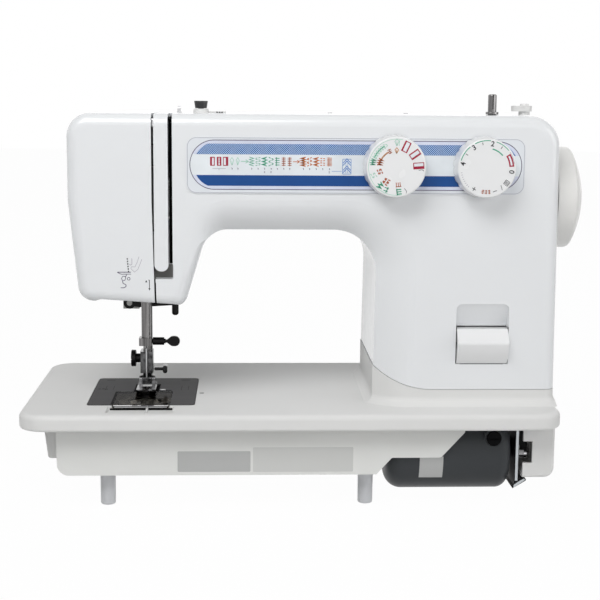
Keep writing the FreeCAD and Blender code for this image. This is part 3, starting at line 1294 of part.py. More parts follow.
def hand_wheel():
    """Dished hand wheel: flat rim, domed face, hollow back and hub."""
    inner = COLUMN_RIGHT + WHEEL_GAP
    rim_end = inner + WHEEL_RIM
    sphere_r = (WHEEL_R ** 2 + WHEEL_DOME ** 2) / (2 * WHEEL_DOME)
    blank = shaft_line(WHEEL_R, inner, rim_end + WHEEL_DOME)
    ball = Part.makeSphere(sphere_r, V(rim_end + WHEEL_DOME - sphere_r, SHAFT_Y, SHAFT_Z))
    blank = blank.common(ball)
    blank = blank.makeFillet(WHEEL_EDGE_R, edges_in_plane(blank, "X", rim_end))
    back = turned_x([(inner - THROUGH, SHAFT_R * 2, 0), (inner - THROUGH, WHEEL_BORE_R, 0),
                     (rim_end - ZAMAK, WHEEL_BORE_R, WHEEL_DISH_R),
                     (rim_end - ZAMAK, SHAFT_R * 2, WHEEL_DISH_R)],
                    SHAFT_Y, SHAFT_Z)
    bore = shaft_line(SHAFT_R + SHAFT_GAP, inner - THROUGH, COLUMN_RIGHT + WHEEL_RIM + THROUGH)
    return blank.cut(back).cut(bore)


# ---- lower shaft, hook and bobbin --------------------------------------------------------------------
def toothed(disc, centre_line, count, radius, depth, length, phase):
    """Cut straight teeth round a disc; centre_line gives a point on the rim for an angle."""
    cutters = []
    for tooth in range(count):
        angle = 2 * math.pi * (tooth + phase) / count
        cutters.append(centre_line(angle, radius, depth, length))
    for cutter in cutters:
        disc = disc.cut(cutter)
    return disc


def lower_shaft():
    """Lower shaft with the helical gear that drives the hook, and its belt pulley."""
    start, end = LOWER_SHAFT_X
    shaft = rod(LOWER_SHAFT_R, V(start, LOWER_SHAFT_Y, LOWER_SHAFT_Z),
                V(end, LOWER_SHAFT_Y, LOWER_SHAFT_Z))
    gear = rod(LOWER_GEAR_R, V(NEEDLE_X - GEAR_FACE / 2, LOWER_SHAFT_Y, LOWER_SHAFT_Z),
               V(NEEDLE_X + GEAR_FACE / 2, LOWER_SHAFT_Y, LOWER_SHAFT_Z))

    def gash(angle, radius, depth, length):
        out = V(0, math.cos(angle), math.sin(angle))
        run = (X_DIR + out.cross(X_DIR)).normalize()
        centre = V(NEEDLE_X, LOWER_SHAFT_Y, LOWER_SHAFT_Z) + out * radius
        return Part.makeCylinder(depth, 2 * length, centre - run * length, run)

    gear = toothed(gear, gash, LOWER_GEAR_TEETH, LOWER_GEAR_R, GEAR_TOOTH_R, GEAR_FACE, 0)
    low_pulley = pulley(TIMING_X, TIMING_WIDTH, TIMING_LOW_R, LOWER_SHAFT_Y, LOWER_SHAFT_Z,
                        LOWER_SHAFT_R - THROUGH)
    return gear.multiFuse([shaft, low_pulley])


def rotary_hook():
    """Horizontal rotary hook: cup with its point, shaft and driven gear."""
    low, high = HOOK_Z
    inner = HOOK_R - HOOK_WALL
    knee, floor_z = low + HOOK_KNEE, low + HOOK_FLOOR
    cup = turned_z([(low, 0, 0), (low, HOOK_R - HOOK_KNEE / 2, 0), (knee - THROUGH, HOOK_R, 0),
                    (high, HOOK_R, 0), (high, inner, 0), (knee, inner, 0),
                    (floor_z, inner - HOOK_KNEE / 2 - THROUGH, 0), (floor_z, 0, 0)],
                   NEEDLE_X, HOOK_Y)
    point = box(NEEDLE_X, NEEDLE_X + HOOK_R, HOOK_Y - HOOK_R, HOOK_Y, high - HOOK_POINT_DEPTH,
                high + THROUGH)
    cup = cup.cut(point)
    gear_top = LOWER_SHAFT_Z + GEAR_FACE / 2
    gear_low = LOWER_SHAFT_Z - GEAR_FACE / 2
    stem = rod(HOOK_SHAFT_R, V(NEEDLE_X, HOOK_Y, gear_low - HOOK_STEM_TAIL),
               V(NEEDLE_X, HOOK_Y, low + THROUGH))
    gear = rod(HOOK_GEAR_R, V(NEEDLE_X, HOOK_Y, gear_low), V(NEEDLE_X, HOOK_Y, gear_top))

    def gash(angle, radius, depth, length):
        out = V(math.cos(angle), math.sin(angle), 0)
        run = (Z_DIR + out.cross(Z_DIR)).normalize()
        centre = V(NEEDLE_X, HOOK_Y, LOWER_SHAFT_Z) + out * radius
        return Part.makeCylinder(depth, 2 * length, centre - run * length, run)

    gear = toothed(gear, gash, HOOK_GEAR_TEETH, HOOK_GEAR_R, GEAR_TOOTH_R, GEAR_FACE, 1 / 2)
    return cup.multiFuse([stem, gear])


def hook_bearing():
    """Bracket under the bed that carries the hook's shaft."""
    gear_low = LOWER_SHAFT_Z - GEAR_FACE / 2
    z0, z1 = gear_low - HOOK_STEM_TAIL, gear_low - SEAT_GAP
    ring = rod(HOOK_SHAFT_R + ZAMAK, V(NEEDLE_X, HOOK_Y, z0), V(NEEDLE_X, HOOK_Y, z1))
    front_y = PLATE_Y[0] - PLATE_LEDGE / 2
    arm = box(NEEDLE_X - ZAMAK, NEEDLE_X + ZAMAK, front_y - ZAMAK, HOOK_Y, z0, z1)
    post = box(NEEDLE_X - ZAMAK, NEEDLE_X + ZAMAK, front_y - ZAMAK, front_y, z0, -BED_SKIN)
    bore = rod(HOOK_SHAFT_R + SHAFT_GAP, V(NEEDLE_X, HOOK_Y, z0 - THROUGH),
               V(NEEDLE_X, HOOK_Y, z1 + THROUGH))
    return join(ring, arm, post).cut(bore)


def bobbin_holder():
    """Stationary cup inside the hook that the bobbin drops into."""
    low, high = HOOK_Z[0] + HOLDER_FLOOR_GAP, HOOK_Z[1] + HOLDER_RISE
    inner = BOBBIN_R + HOLDER_ROOM
    return turned_z([(low, 0, 0), (low, HOLDER_CUP_R - HOLDER_TAPER, 0),
                     (low + HOLDER_TAPER, HOLDER_CUP_R, 0), (high, HOLDER_CUP_R, 0),
                     (high, inner, SOFT_R), (low + HOLDER_FLOOR, inner, 0),
                     (low + HOLDER_FLOOR, 0, 0)], NEEDLE_X, HOOK_Y)


def bobbin():
    """Plastic bobbin: two flanges on a hollow hub."""
    low, high = BOBBIN_Z
    bore = BOBBIN_HUB_R - BOBBIN_HUB_WALL
    return turned_z([(low, bore, 0), (low, BOBBIN_R, BOBBIN_EDGE_R),
                     (low + BOBBIN_FLANGE, BOBBIN_R, BOBBIN_EDGE_R),
                     (low + BOBBIN_FLANGE, BOBBIN_HUB_R, 0),
                     (high - BOBBIN_FLANGE, BOBBIN_HUB_R, 0),
                     (high - BOBBIN_FLANGE, BOBBIN_R, BOBBIN_EDGE_R),
                     (high, BOBBIN_R, BOBBIN_EDGE_R), (high, bore, 0)], NEEDLE_X, HOOK_Y)


# ---- needle bar ------------------------------------------------------------------------------
def bar_line(radius, y, low, high):
    """Upright round bar on the needle's station."""
    return rod(radius, V(NEEDLE_X, y, low), V(NEEDLE_X, y, high))


def needle_bar():
    """Needle bar with the yoke and stud that the connecting rod turns on."""
    bar = bar_line(NEEDLE_BAR_R, NEEDLE_Y, NEEDLE_BAR_LOW, NEEDLE_BAR_TOP)
    bar = bar.cut(bar_line(NEEDLE_SHANK_R, NEEDLE_Y, NEEDLE_BAR_LOW - THROUGH,
                           NEEDLE_BAR_LOW + NEEDLE_SHANK_LENGTH))
    yoke = plate(rectangle(NEEDLE_X - YOKE_HALF, NEEDLE_X + YOKE_HALF, NEEDLE_Y - YOKE_HALF,
                           NEEDLE_Y + YOKE_HALF, YOKE_R),
                 in_xy(YOKE_Z[0]), V(0, 0, YOKE_Z[1] - YOKE_Z[0]))
    stud_z = sum(YOKE_Z) / 2
    stud = rod(CRANK_PIN_R, V(NEEDLE_X, NEEDLE_Y, stud_z), V(ROD_X[1], NEEDLE_Y, stud_z))
    return join(bar, yoke, stud)


def connecting_rod():
    """Rod from the needle bar's stud up to the crank pin."""
    pin_y, pin_z = crank_pin_spot()
    stud_z = sum(YOKE_Z) / 2
    width = ROD_X[1] - ROD_X[0]
    reach = V(0, pin_y - NEEDLE_Y, pin_z - stud_z)
    side = V(0, -reach.z, reach.y).normalize() * ROD_HALF_WIDTH
    foot, head = V(ROD_X[0], NEEDLE_Y, stud_z), V(ROD_X[0], pin_y, pin_z)
    shank = Part.Face(Part.makePolygon([foot + side, head + side, head - side, foot - side,
                                        foot + side])).extrude(V(width, 0, 0))
    ends = [Part.makeCylinder(ROD_END_R, width, spot, X_DIR) for spot in (foot, head)]
    solid = join(shank, *ends)
    for spot in (foot, head):
        solid = solid.cut(Part.makeCylinder(CRANK_PIN_R + SHAFT_GAP, width + 2 * THROUGH,
                                            spot - V(THROUGH, 0, 0), X_DIR))
    return solid


def needle_clamp():
    """Clamp block at the foot of the needle bar, bored across for its screw."""
    block = plate(rectangle(CLAMP_X[0], CLAMP_X[1], CLAMP_Y[0], CLAMP_Y[1], CLAMP_R),
                  in_xy(CLAMP_Z[0]), V(0, 0, CLAMP_Z[1] - CLAMP_Z[0]))
    block = block.cut(bar_line(NEEDLE_BAR_R + SHAFT_GAP, NEEDLE_Y, CLAMP_Z[0] + THROUGH, ARM_TOP))
    block = block.cut(bar_line(NEEDLE_SHANK_R + SHAFT_GAP, NEEDLE_Y, 0, ARM_TOP))
    middle = sum(CLAMP_Z) / 2
    return block.cut(rod(CLAMP_SCREW_R + SHAFT_GAP, V(NEEDLE_X + NEEDLE_BAR_R, NEEDLE_Y, middle),
                         V(CLAMP_X[1] + THROUGH, NEEDLE_Y, middle)))


def clamp_screw():
    """Needle clamp screw: threaded shank, collar and flat teardrop grip."""
    z = sum(CLAMP_Z) / 2
    shank = rod(CLAMP_SCREW_R, V(NEEDLE_X + NEEDLE_BAR_R + SEAT_GAP, NEEDLE_Y, z),
                V(CLAMP_SCREW_END + THROUGH, NEEDLE_Y, z))
    seat = CLAMP_X[1] + SEAT_GAP
    collar = turned_x([(seat, 0, 0), (seat, CLAMP_COLLAR_R, SHARP_R),
                       (CLAMP_SCREW_END, CLAMP_COLLAR_R, SHARP_R), (CLAMP_SCREW_END, 0, 0)],
                      NEEDLE_Y, z)
    lower = [(CLAMP_SCREW_END - THROUGH, z - CLAMP_NECK, 0),
             (CLAMP_SCREW_END + CLAMP_NECK_RUN, z - CLAMP_NECK, CLAMP_NECK_RUN),
             (CLAMP_KNOB_END - CLAMP_GRIP_RUN, z - CLAMP_KNOB_R, CLAMP_GRIP_R),
             (CLAMP_KNOB_END, z - CLAMP_KNOB_R, CLAMP_GRIP_R)]
    upper = [(x, 2 * z - height, radius) for x, height, radius in reversed(lower)]
    grip = plate(lower + upper, in_xz(NEEDLE_Y - CLAMP_KNOB_THICK / 2), V(0, CLAMP_KNOB_THICK, 0))
    return join(shank, collar, grip)


def needle():
    """Needle: shank, tapered shoulder, blade and point."""
    top = NEEDLE_TIP_Z + NEEDLE_LENGTH
    shank_low = top - NEEDLE_SHANK_LENGTH
    return turned_z([(NEEDLE_TIP_Z, 0, 0), (NEEDLE_TIP_Z + NEEDLE_POINT, NEEDLE_R, 0),
                     (shank_low - NEEDLE_SHOULDER, NEEDLE_R, 0), (shank_low, NEEDLE_SHANK_R, 0),
                     (top, NEEDLE_SHANK_R, 0), (top, 0, 0)], NEEDLE_X, NEEDLE_Y)


# ---- presser bar and foot -------------------------------------------------------------------------
def presser_bar():
    """Presser bar with the tab that the lifter raises."""
    bar = bar_line(PRESSER_BAR_R, PRESSER_Y, PRESSER_BAR_LOW, PRESSER_BAR_TOP)
    tab = plate(rectangle(NEEDLE_X - BAR_TAB_HALF, NEEDLE_X + BAR_TAB_HALF,
                          PRESSER_Y - BAR_TAB_HALF, LIFTER_Y[1], BAR_TAB_R),
                in_xy(LIFT_TAB_Z[0]), V(0, 0, LIFT_TAB_Z[1] - LIFT_TAB_Z[0]))
    return join(bar, tab)


def foot_holder():
    """Shank that the thumb screw clamps to the presser bar, with a fork for the foot."""
    block = plate(rectangle(HOLDER_X[0], HOLDER_X[1], HOLDER_Y[0], HOLDER_Y[1], HOLDER_EDGE_R),
                  in_xy(HOLDER_Z[0]), V(0, 0, HOLDER_Z[1] - HOLDER_Z[0]))
    neck_half = FOOT_EAR_THICK + THROUGH
    root_z, low_z = HOLDER_Z[0] + NECK_STEP, FOOT_PIN_Z - NECK_LOW
    front_y = FOOT_PIN_Y - NECK_FRONT
    neck = plate([(HOLDER_Y[0] + NECK_RUN, root_z, 0), (HOLDER_Y[1] - NECK_STEP, root_z, 0),
                  (HOLDER_Y[1] - NECK_TAPER, FOOT_PIN_Z + NECK_STEP, SOFT_R),
                  (FOOT_PIN_Y + NECK_STEP, low_z, SOFT_R), (front_y, low_z, SOFT_R),
                  (front_y, FOOT_PIN_Z + NECK_STEP, SOFT_R)],
                 in_yz(NEEDLE_X - neck_half), V(2 * neck_half, 0, 0))
    holder = join(block, neck)
    holder = holder.cut(bar_line(PRESSER_BAR_R + SHAFT_GAP, PRESSER_Y, PRESSER_BAR_LOW, ARM_TOP))
    holder = holder.cut(rod(FOOT_PIN_R + SHAFT_GAP, V(FOOT_X[0], FOOT_PIN_Y, FOOT_PIN_Z),
                            V(FOOT_X[1], FOOT_PIN_Y, FOOT_PIN_Z)))
    return holder.cut(rod(FOOT_SCREW_R + SHAFT_GAP, V(HOLDER_X[0] - THROUGH, PRESSER_Y, FOOT_SCREW_Z),
                          V(NEEDLE_X - PRESSER_BAR_R, PRESSER_Y, FOOT_SCREW_Z)))


def foot_screw():
    """Thumb screw of the foot holder: fluted disc and shank."""
    z = FOOT_SCREW_Z
    disc = turned_x([(FOOT_SCREW_HEAD[0], 0, 0),
                     (FOOT_SCREW_HEAD[0], FOOT_SCREW_HEAD_R, FLANGE_EDGE_R),
                     (FOOT_SCREW_HEAD[1], FOOT_SCREW_HEAD_R, FLANGE_EDGE_R),
                     (FOOT_SCREW_HEAD[1], 0, 0)], PRESSER_Y, z)
    collar = rod(FOOT_SCREW_R + FOOT_COLLAR, V(FOOT_SCREW_HEAD[1], PRESSER_Y, z),
                 V(HOLDER_X[0] - SEAT_GAP, PRESSER_Y, z))
    shank = rod(FOOT_SCREW_R, V(FOOT_SCREW_HEAD[1], PRESSER_Y, z),
                V(NEEDLE_X - PRESSER_BAR_R - SEAT_GAP, PRESSER_Y, z))
    slot = box(FOOT_SCREW_HEAD[0] - THROUGH, FOOT_SCREW_HEAD[0] + FOOT_SLIT_DEPTH, 0, BED_DEPTH,
               z - SLIT / 2, z + SLIT / 2)
    return join(disc, collar, shank).cut(slot)


def presser_foot():
    """Two-toed zigzag foot: upswept sole, needle slot, side ears and pivot pin."""
    bottom, top = FOOT_SOLE_Z, FOOT_SOLE_Z + FOOT_SOLE_THICK
    heel_y, toe_y = FOOT_Y[1], FOOT_Y[0] + TOE_RUN
    side = [(FOOT_Y[0], bottom + FOOT_TOE_RISE, TOE_TIP_R), (toe_y, bottom, TOE_OUTER_R),
            (FOOT_PIN_Y - 2 * THROUGH, bottom, 0), (heel_y, bottom + FOOT_TILT_RELIEF, TOE_TIP_R),
            (heel_y, top + FOOT_TILT_RELIEF, TOE_TIP_R), (FOOT_PIN_Y, top, 0),
            (toe_y, top, TOE_INNER_R), (FOOT_Y[0], top + FOOT_TOE_RISE - TOE_TIP_R, SHARP_R)]
    sole = plate(side, in_yz(FOOT_X[0]), V(FOOT_X[1] - FOOT_X[0], 0, 0))
    plan = plate(rectangle(FOOT_X[0], FOOT_X[1], FOOT_Y[0], heel_y, FOOT_PLAN_R),
                 in_xy(0), V(0, 0, STAND_HEIGHT))
    sole = sole.common(plan)
    for half, back, front, radius in (
            (TOE_GAP_HALF, NEEDLE_Y - TOE_GAP_END, FOOT_Y[0] - ZAMAK, 0),
            (FOOT_SLOT_HALF[0], NEEDLE_Y + FOOT_SLOT_HALF[1], NEEDLE_Y - FOOT_SLOT_HALF[1],
             FOOT_SLOT_R),
            (THREAD_GAP_HALF, NEEDLE_Y - THROUGH, NEEDLE_Y - TOE_GAP_END - THROUGH, 0)):
        gap = plate(rectangle(NEEDLE_X - half, NEEDLE_X + half, front, back, radius),
                    in_xy(0), V(0, 0, ARM_TOP))
        sole = sole.cut(gap)
    ear = [(FOOT_PIN_Y - EAR_FRONT, top - EAR_ROOT, 0), (FOOT_PIN_Y + EAR_BACK, top - EAR_ROOT, 0),
           (FOOT_PIN_Y + EAR_TOP_HALF, FOOT_EAR_TOP, EAR_R),
           (FOOT_PIN_Y - EAR_TOP_HALF, FOOT_EAR_TOP, EAR_R)]
    inner = FOOT_EAR_THICK + THROUGH + SEAT_GAP
    ears = [plate(ear, in_yz(NEEDLE_X - inner - FOOT_EAR_THICK), V(FOOT_EAR_THICK, 0, 0)),
            plate(ear, in_yz(NEEDLE_X + inner), V(FOOT_EAR_THICK, 0, 0))]
    pin = rod(FOOT_PIN_R, V(NEEDLE_X - inner - THROUGH, FOOT_PIN_Y, FOOT_PIN_Z),
              V(NEEDLE_X + inner + THROUGH, FOOT_PIN_Y, FOOT_PIN_Z))
    return join(sole, pin, *ears)


def release_lever():
    """Small sprung lever at the right of the holder that lets the foot drop off."""
    z = RELEASE_Z
    front, back = PRESSER_Y + RELEASE_ARM_Y[0], PRESSER_Y + RELEASE_ARM_Y[1]
    hub = rod(RELEASE_HUB_R, V(RELEASE_PIVOT_X, front, z), V(RELEASE_PIVOT_X, back, z))
    arm = box(RELEASE_PIVOT_X, RELEASE_END_X - RELEASE_PAD_WIDTH / 2, front, back,
              z - RELEASE_HUB_R, z + RELEASE_HUB_R)
    pad = plate(rectangle(RELEASE_END_X - RELEASE_PAD_WIDTH, RELEASE_END_X, z - RELEASE_PAD_HALF,
                          z + RELEASE_PAD_HALF, RELEASE_PAD_R),
                in_xz(PRESSER_Y - THROUGH), V(0, ZAMAK, 0))
    return join(hub, arm, pad)


def presser_lifter():
    """Lifter: pivot eye, arm under the bar's tab, and the hanging finger grip."""
    thick = LIFTER_Y[1] - LIFTER_Y[0]
    eye = rod(LIFTER_ARM_R + LIFTER_EYE_WALL, V(LIFTER_PIVOT_X, LIFTER_Y[0], LIFTER_Z),
              V(LIFTER_PIVOT_X, LIFTER_Y[1], LIFTER_Z))
    cam_x = [NEEDLE_X + step for step in LIFTER_CAM_X]
    cam_top, tail_low = LIFT_TAB_Z[0] - SEAT_GAP, LIFTER_Z + LIFTER_TAIL[0]
    tail_top = LIFTER_Z + LIFTER_TAIL[1]
    arm = plate([(LIFTER_PIVOT_X, LIFTER_Z - LIFTER_ARM_HALF, 0),
                 (cam_x[0] - THROUGH, LIFTER_Z - LIFTER_BELLY, LIFTER_BELLY_R),
                 (LIFTER_HANDLE_X, tail_low, 0), (LIFTER_HANDLE_X, tail_top, 0),
                 (cam_x[3], tail_top, LIFTER_CAM_FOOT_R), (cam_x[2], cam_top, LIFTER_CAM_R),
                 (cam_x[1], cam_top, LIFTER_CAM_R),
                 (cam_x[0], LIFTER_Z + 2 * THROUGH, LIFTER_CAM_FOOT_R),
                 (LIFTER_PIVOT_X, LIFTER_Z + LIFTER_ARM_HALF, 0)],
                in_xz(LIFTER_Y[0]), V(0, thick, 0))
    low, high = LIFTER_HANDLE_Z
    grip = turned_z([(low, 0, 0), (low, LIFTER_HANDLE_R, 2 * THROUGH),
                     (high - GRIP_TAPER, LIFTER_HANDLE_R, 2 * THROUGH),
                     (high, GRIP_TIP_R, GRIP_TIP_R / 2), (high, 0, 0)],
                    LIFTER_HANDLE_X, sum(LIFTER_Y) / 2)
    hole = rod(LIFTER_PIN_R + SHAFT_GAP, V(LIFTER_PIVOT_X, LIFTER_Y[0] - THROUGH, LIFTER_Z),
               V(LIFTER_PIVOT_X, LIFTER_Y[1] + THROUGH, LIFTER_Z))
    return join(eye, arm, grip).cut(hole)


def take_up_lever():
    """Take-up lever: pivot eye, long curved arm and thread eye at its tip."""
    x, thick = TAKE_UP_X[0], TAKE_UP_X[1] - TAKE_UP_X[0]
    pivot = (TAKE_UP_PIVOT_Y, TAKE_UP_PIVOT_Z)
    root, heel, upper, lower = [(pivot[0] + y, pivot[1] + z) for y, z in TAKE_UP_ARM]
    arm = plate([(*root, 0), (*heel, TAKE_UP_BOSS), (*upper, TAKE_UP_ARM_R),
                 (TAKE_UP_TIP_Y, TAKE_UP_TIP_Z, TAKE_UP_TIP_R),
                 (TAKE_UP_TIP_Y, TAKE_UP_TIP_Z - TAKE_UP_TIP, TAKE_UP_TIP_R),
                 (*lower, TAKE_UP_ARM_R)], in_yz(x), V(thick, 0, 0))
    eye = rod(TAKE_UP_EYE_R, V(x, pivot[0], pivot[1]), V(x + thick, pivot[0], pivot[1]))
    hole = rod(TAKE_UP_STUD_R + SHAFT_GAP, V(x - THROUGH, pivot[0], pivot[1]),
               V(x + thick + THROUGH, pivot[0], pivot[1]))
    eye_y, eye_z = TAKE_UP_TIP_Y + TAKE_UP_TIP / 2, TAKE_UP_TIP_Z - TAKE_UP_TIP / 2
    thread_eye = rod(THREAD_EYE_R, V(x - THROUGH, eye_y, eye_z),
                     V(x + thick + THROUGH, eye_y, eye_z))
    return join(arm, eye).cut(hole).cut(thread_eye)


# ---- needle plate group ----------------------------------------------------------------------------
def feed_rows():
    """Side edges and start of each row of feed teeth: (left, right, front)."""
    left, right = FEED_X
    middle = (left + right) / 2
    wide = 2 * FEED_ROW_HALF
    return [(left, left + wide, FEED_Y[0]), (right - wide, right, FEED_Y[0]),
            (middle - FEED_ROW_HALF, middle + FEED_ROW_HALF, FEED_BRIDGE_Y + THROUGH)]


def needle_plate():
    """Steel plate with feed slots, needle slot, hook cover notch and screw holes."""
    low = PLATE_PROUD - PLATE_THICK
    up = V(0, 0, PLATE_THICK)
    solid = plate(rectangle(PLATE_X[0], PLATE_X[1], PLATE_Y[0], PLATE_Y[1], PLATE_CORNER_R),
                  in_xy(low), up)
    notch = box(COVER_X[0] - SEAT_GAP, COVER_X[1] + SEAT_GAP, PLATE_Y[0] - THROUGH,
                COVER_Y[1] + SEAT_GAP, low - THROUGH, THROUGH)
    solid = solid.cut(notch)
    for x0, x1, front in feed_rows():
        solid = solid.cut(plate(rectangle(x0 - PLAY, x1 + PLAY, front - FEED_TRAVEL - PLAY,
                                          FEED_Y[1] + FEED_TRAVEL + PLAY, FEED_SLOT_R),
                                in_xy(low - THROUGH), V(0, 0, PLATE_THICK + 2 * THROUGH)))
    half_x, half_y = NEEDLE_SLOT_HALF
    slots = [rectangle(NEEDLE_X - half_x, NEEDLE_X + half_x, NEEDLE_Y - half_y,
                       NEEDLE_Y + half_y, NEEDLE_SLOT_R),
             rectangle(BUTTON_X - BUTTON_SLOT[0], BUTTON_X + BUTTON_SLOT[1],
                       BUTTON_Y - BUTTON_SLOT[2], BUTTON_Y + BUTTON_SLOT[2], BUTTON_SLOT_R)]
    for slot in slots:
        solid = solid.cut(plate(slot, in_xy(low - THROUGH), V(0, 0, PLATE_THICK + 2 * THROUGH)))
    for x, y in plate_screw_spots():
        solid = solid.cut(plate_screw_head(x, y))
    return solid


def plate_screw_head(x, y):
    """Countersunk head of a needle plate screw, and of the seat it fills."""
    return cone(SCREW_R, SCREW_HEAD_R - PLATE_PROUD, V(x, y, PLATE_PROUD - PLATE_THICK),
                V(x, y, PLATE_PROUD))


def plate_screw_spots():
    """Places of the two needle plate screws."""
    y = PLATE_Y[1] - PLATE_SCREW_INSET[1]
    return [(PLATE_X[0] + PLATE_SCREW_INSET[0], y), (PLATE_X[1] - PLATE_SCREW_INSET[0], y)]


def plate_screws():
    """Two countersunk screws of the needle plate."""
    screws = []
    for x, y in plate_screw_spots():
        slot = box(x - SCREW_HEAD_R, x + SCREW_HEAD_R, y - SLIT / 2, y + SLIT / 2,
                   PLATE_PROUD - SCREW_SLOT_DEPTH, THROUGH)
        screws.append(plate_screw_head(x, y).cut(slot))
    return Part.makeCompound(screws)


def hook_cover():
    """Clear sliding cover over the bobbin, with a groove for the finger."""
    low = PLATE_PROUD - PLATE_THICK + SEAT_GAP
    solid = plate(rectangle(COVER_X[0], COVER_X[1], COVER_Y[0], COVER_Y[1], COVER_R),
                  in_xy(low), V(0, 0, PLATE_PROUD - low))
    half, front, back = COVER_GRIP
    grip = plate(rectangle(NEEDLE_X - half, NEEDLE_X + half, COVER_Y[0] + front,
                           COVER_Y[0] + back, NEEDLE_SLOT_R),
                 in_xy(PLATE_PROUD - COVER_GRIP_DEPTH), V(0, 0, THROUGH))
    return solid.cut(grip)


def cover_button():
    """Button in the needle plate that lets the hook cover go."""
    low = PLATE_PROUD - PLATE_THICK
    left, right, half = BUTTON_STEM
    stem = plate(rectangle(BUTTON_X - left, BUTTON_X + right, BUTTON_Y - half, BUTTON_Y + half,
                           BUTTON_STEM_R),
                 in_xy(low - BUTTON_DROP), V(0, 0, PLATE_THICK + BUTTON_DROP + BUTTON_RISE))
    left, right, half = BUTTON_FOOT
    foot = box(BUTTON_X - left, BUTTON_X + right, BUTTON_Y - half, BUTTON_Y + half,
               low - BUTTON_DROP - PLATE_PROUD, low - SEAT_GAP)
    return join(stem, foot)


def feed_dog():
    """Three rows of feed teeth on a bridge behind the needle, with its carrier arm."""
    low, top = FEED_BASE_Z
    bridge = box(FEED_X[0], FEED_X[1], FEED_BRIDGE_Y, FEED_Y[1], low, top)
    pieces = []
    for x0, x1, front in feed_rows():
        pieces.append(box(x0, x1, front, FEED_Y[1], low, FEED_TOOTH_LOW))
        count = int((FEED_Y[1] - front) / FEED_PITCH)
        for tooth in range(count):
            y = front + tooth * FEED_PITCH
            root = FEED_TOOTH_LOW - SHAFT_GAP
            pieces.append(plate([(y, root, 0), (y + FEED_PITCH, root, 0),
                                 (y + FEED_PITCH * FEED_TOOTH_LEAN, 0, 0)],
                                in_yz(x0), V(x1 - x0, 0, 0)))
    arm = box(FEED_X[0] + FEED_ARM_INSET, FEED_X[1] - FEED_ARM_INSET, FEED_Y[1] - FEED_ARM_RUN,
              FEED_Y[1], FEED_ARM_Z, low)
    return join(bridge, arm, *pieces)


# ---- motor, lower cover ------------------------------------------------------------------------------
def motor_line(radius, x0, x1):
    """Round bar on the motor's line."""
    return rod(radius, V(x0, MOTOR_Y, MOTOR_Z), V(x1, MOTOR_Y, MOTOR_Z))


def motor_body():
    """Motor housing: rounded can with end boss, bearing bore and brush ports."""
    left, right = MOTOR_X
    can = turned_x([(left, 0, 0), (left, MOTOR_R, MOTOR_END_R), (right, MOTOR_R, MOTOR_BACK_R),
                    (right, MOTOR_BOSS_R, 0), (MOTOR_BOSS_END, MOTOR_BOSS_R, SOFT_R),
                    (MOTOR_BOSS_END, 0, 0)], MOTOR_Y, MOTOR_Z)
    can = can.cut(motor_line(MOTOR_SHAFT_R + SHAFT_GAP, right - 2 * ZAMAK, MOTOR_BOSS_END + THROUGH))
    vents = []
    for vent in range(MOTOR_VENTS):
        angle = 2 * math.pi * vent / MOTOR_VENTS
        y = MOTOR_Y + MOTOR_VENT_RING_R * math.cos(angle)
        z = MOTOR_Z + MOTOR_VENT_RING_R * math.sin(angle)
        vents.append(rod(MOTOR_VENT_R, V(left - THROUGH, y, z), V(left + ZAMAK, y, z)))
    can = can.cut(Part.makeCompound(vents))
    rim_y = BRUSH_FACE_Y + BRUSH_HEAD
    port = rod(BRUSH_R + BRUSH_WALL, V(BRUSH_X, rim_y, BRUSH_Z), V(BRUSH_X, MOTOR_Y, BRUSH_Z))
    hole = rod(BRUSH_R - THROUGH, V(BRUSH_X, 0, BRUSH_Z), V(BRUSH_X, MOTOR_Y - 2 * ZAMAK, BRUSH_Z))
    seat = rod(BRUSH_R + PLAY, V(BRUSH_X, 0, BRUSH_Z), V(BRUSH_X, rim_y, BRUSH_Z))
    return can.fuse(port).cut(hole).cut(seat).removeSplitter()


def brush_cap():
    """Slotted screw cap over the motor's front brush."""
    head_y, end_y, stem_r = BRUSH_FACE_Y + BRUSH_HEAD, BRUSH_FACE_Y + BRUSH_LENGTH, BRUSH_R - BRUSH_STEP
    cap = turned_y([(BRUSH_FACE_Y, 0, 0), (BRUSH_FACE_Y, BRUSH_R, FLANGE_EDGE_R),
                    (head_y, BRUSH_R, 0), (head_y, stem_r, 0), (end_y, stem_r, 0),
                    (end_y, 0, 0)], BRUSH_X, BRUSH_Z)
    return cap.cut(box(BRUSH_X - BRUSH_R, BRUSH_X + BRUSH_R, BRUSH_FACE_Y - THROUGH,
                       BRUSH_FACE_Y + THROUGH, BRUSH_Z - SLIT, BRUSH_Z + SLIT))


def motor_rotor():
    """Motor shaft and its small belt pulley."""
    shaft = motor_line(MOTOR_SHAFT_R, MOTOR_X[1] - 2 * ZAMAK + SEAT_GAP,
                       DRIVE_X + DRIVE_WIDTH)
    wheel = pulley(DRIVE_X, DRIVE_WIDTH, DRIVE_SMALL_R, MOTOR_Y, MOTOR_Z, MOTOR_SHAFT_R - THROUGH)
    return join(shaft, wheel)


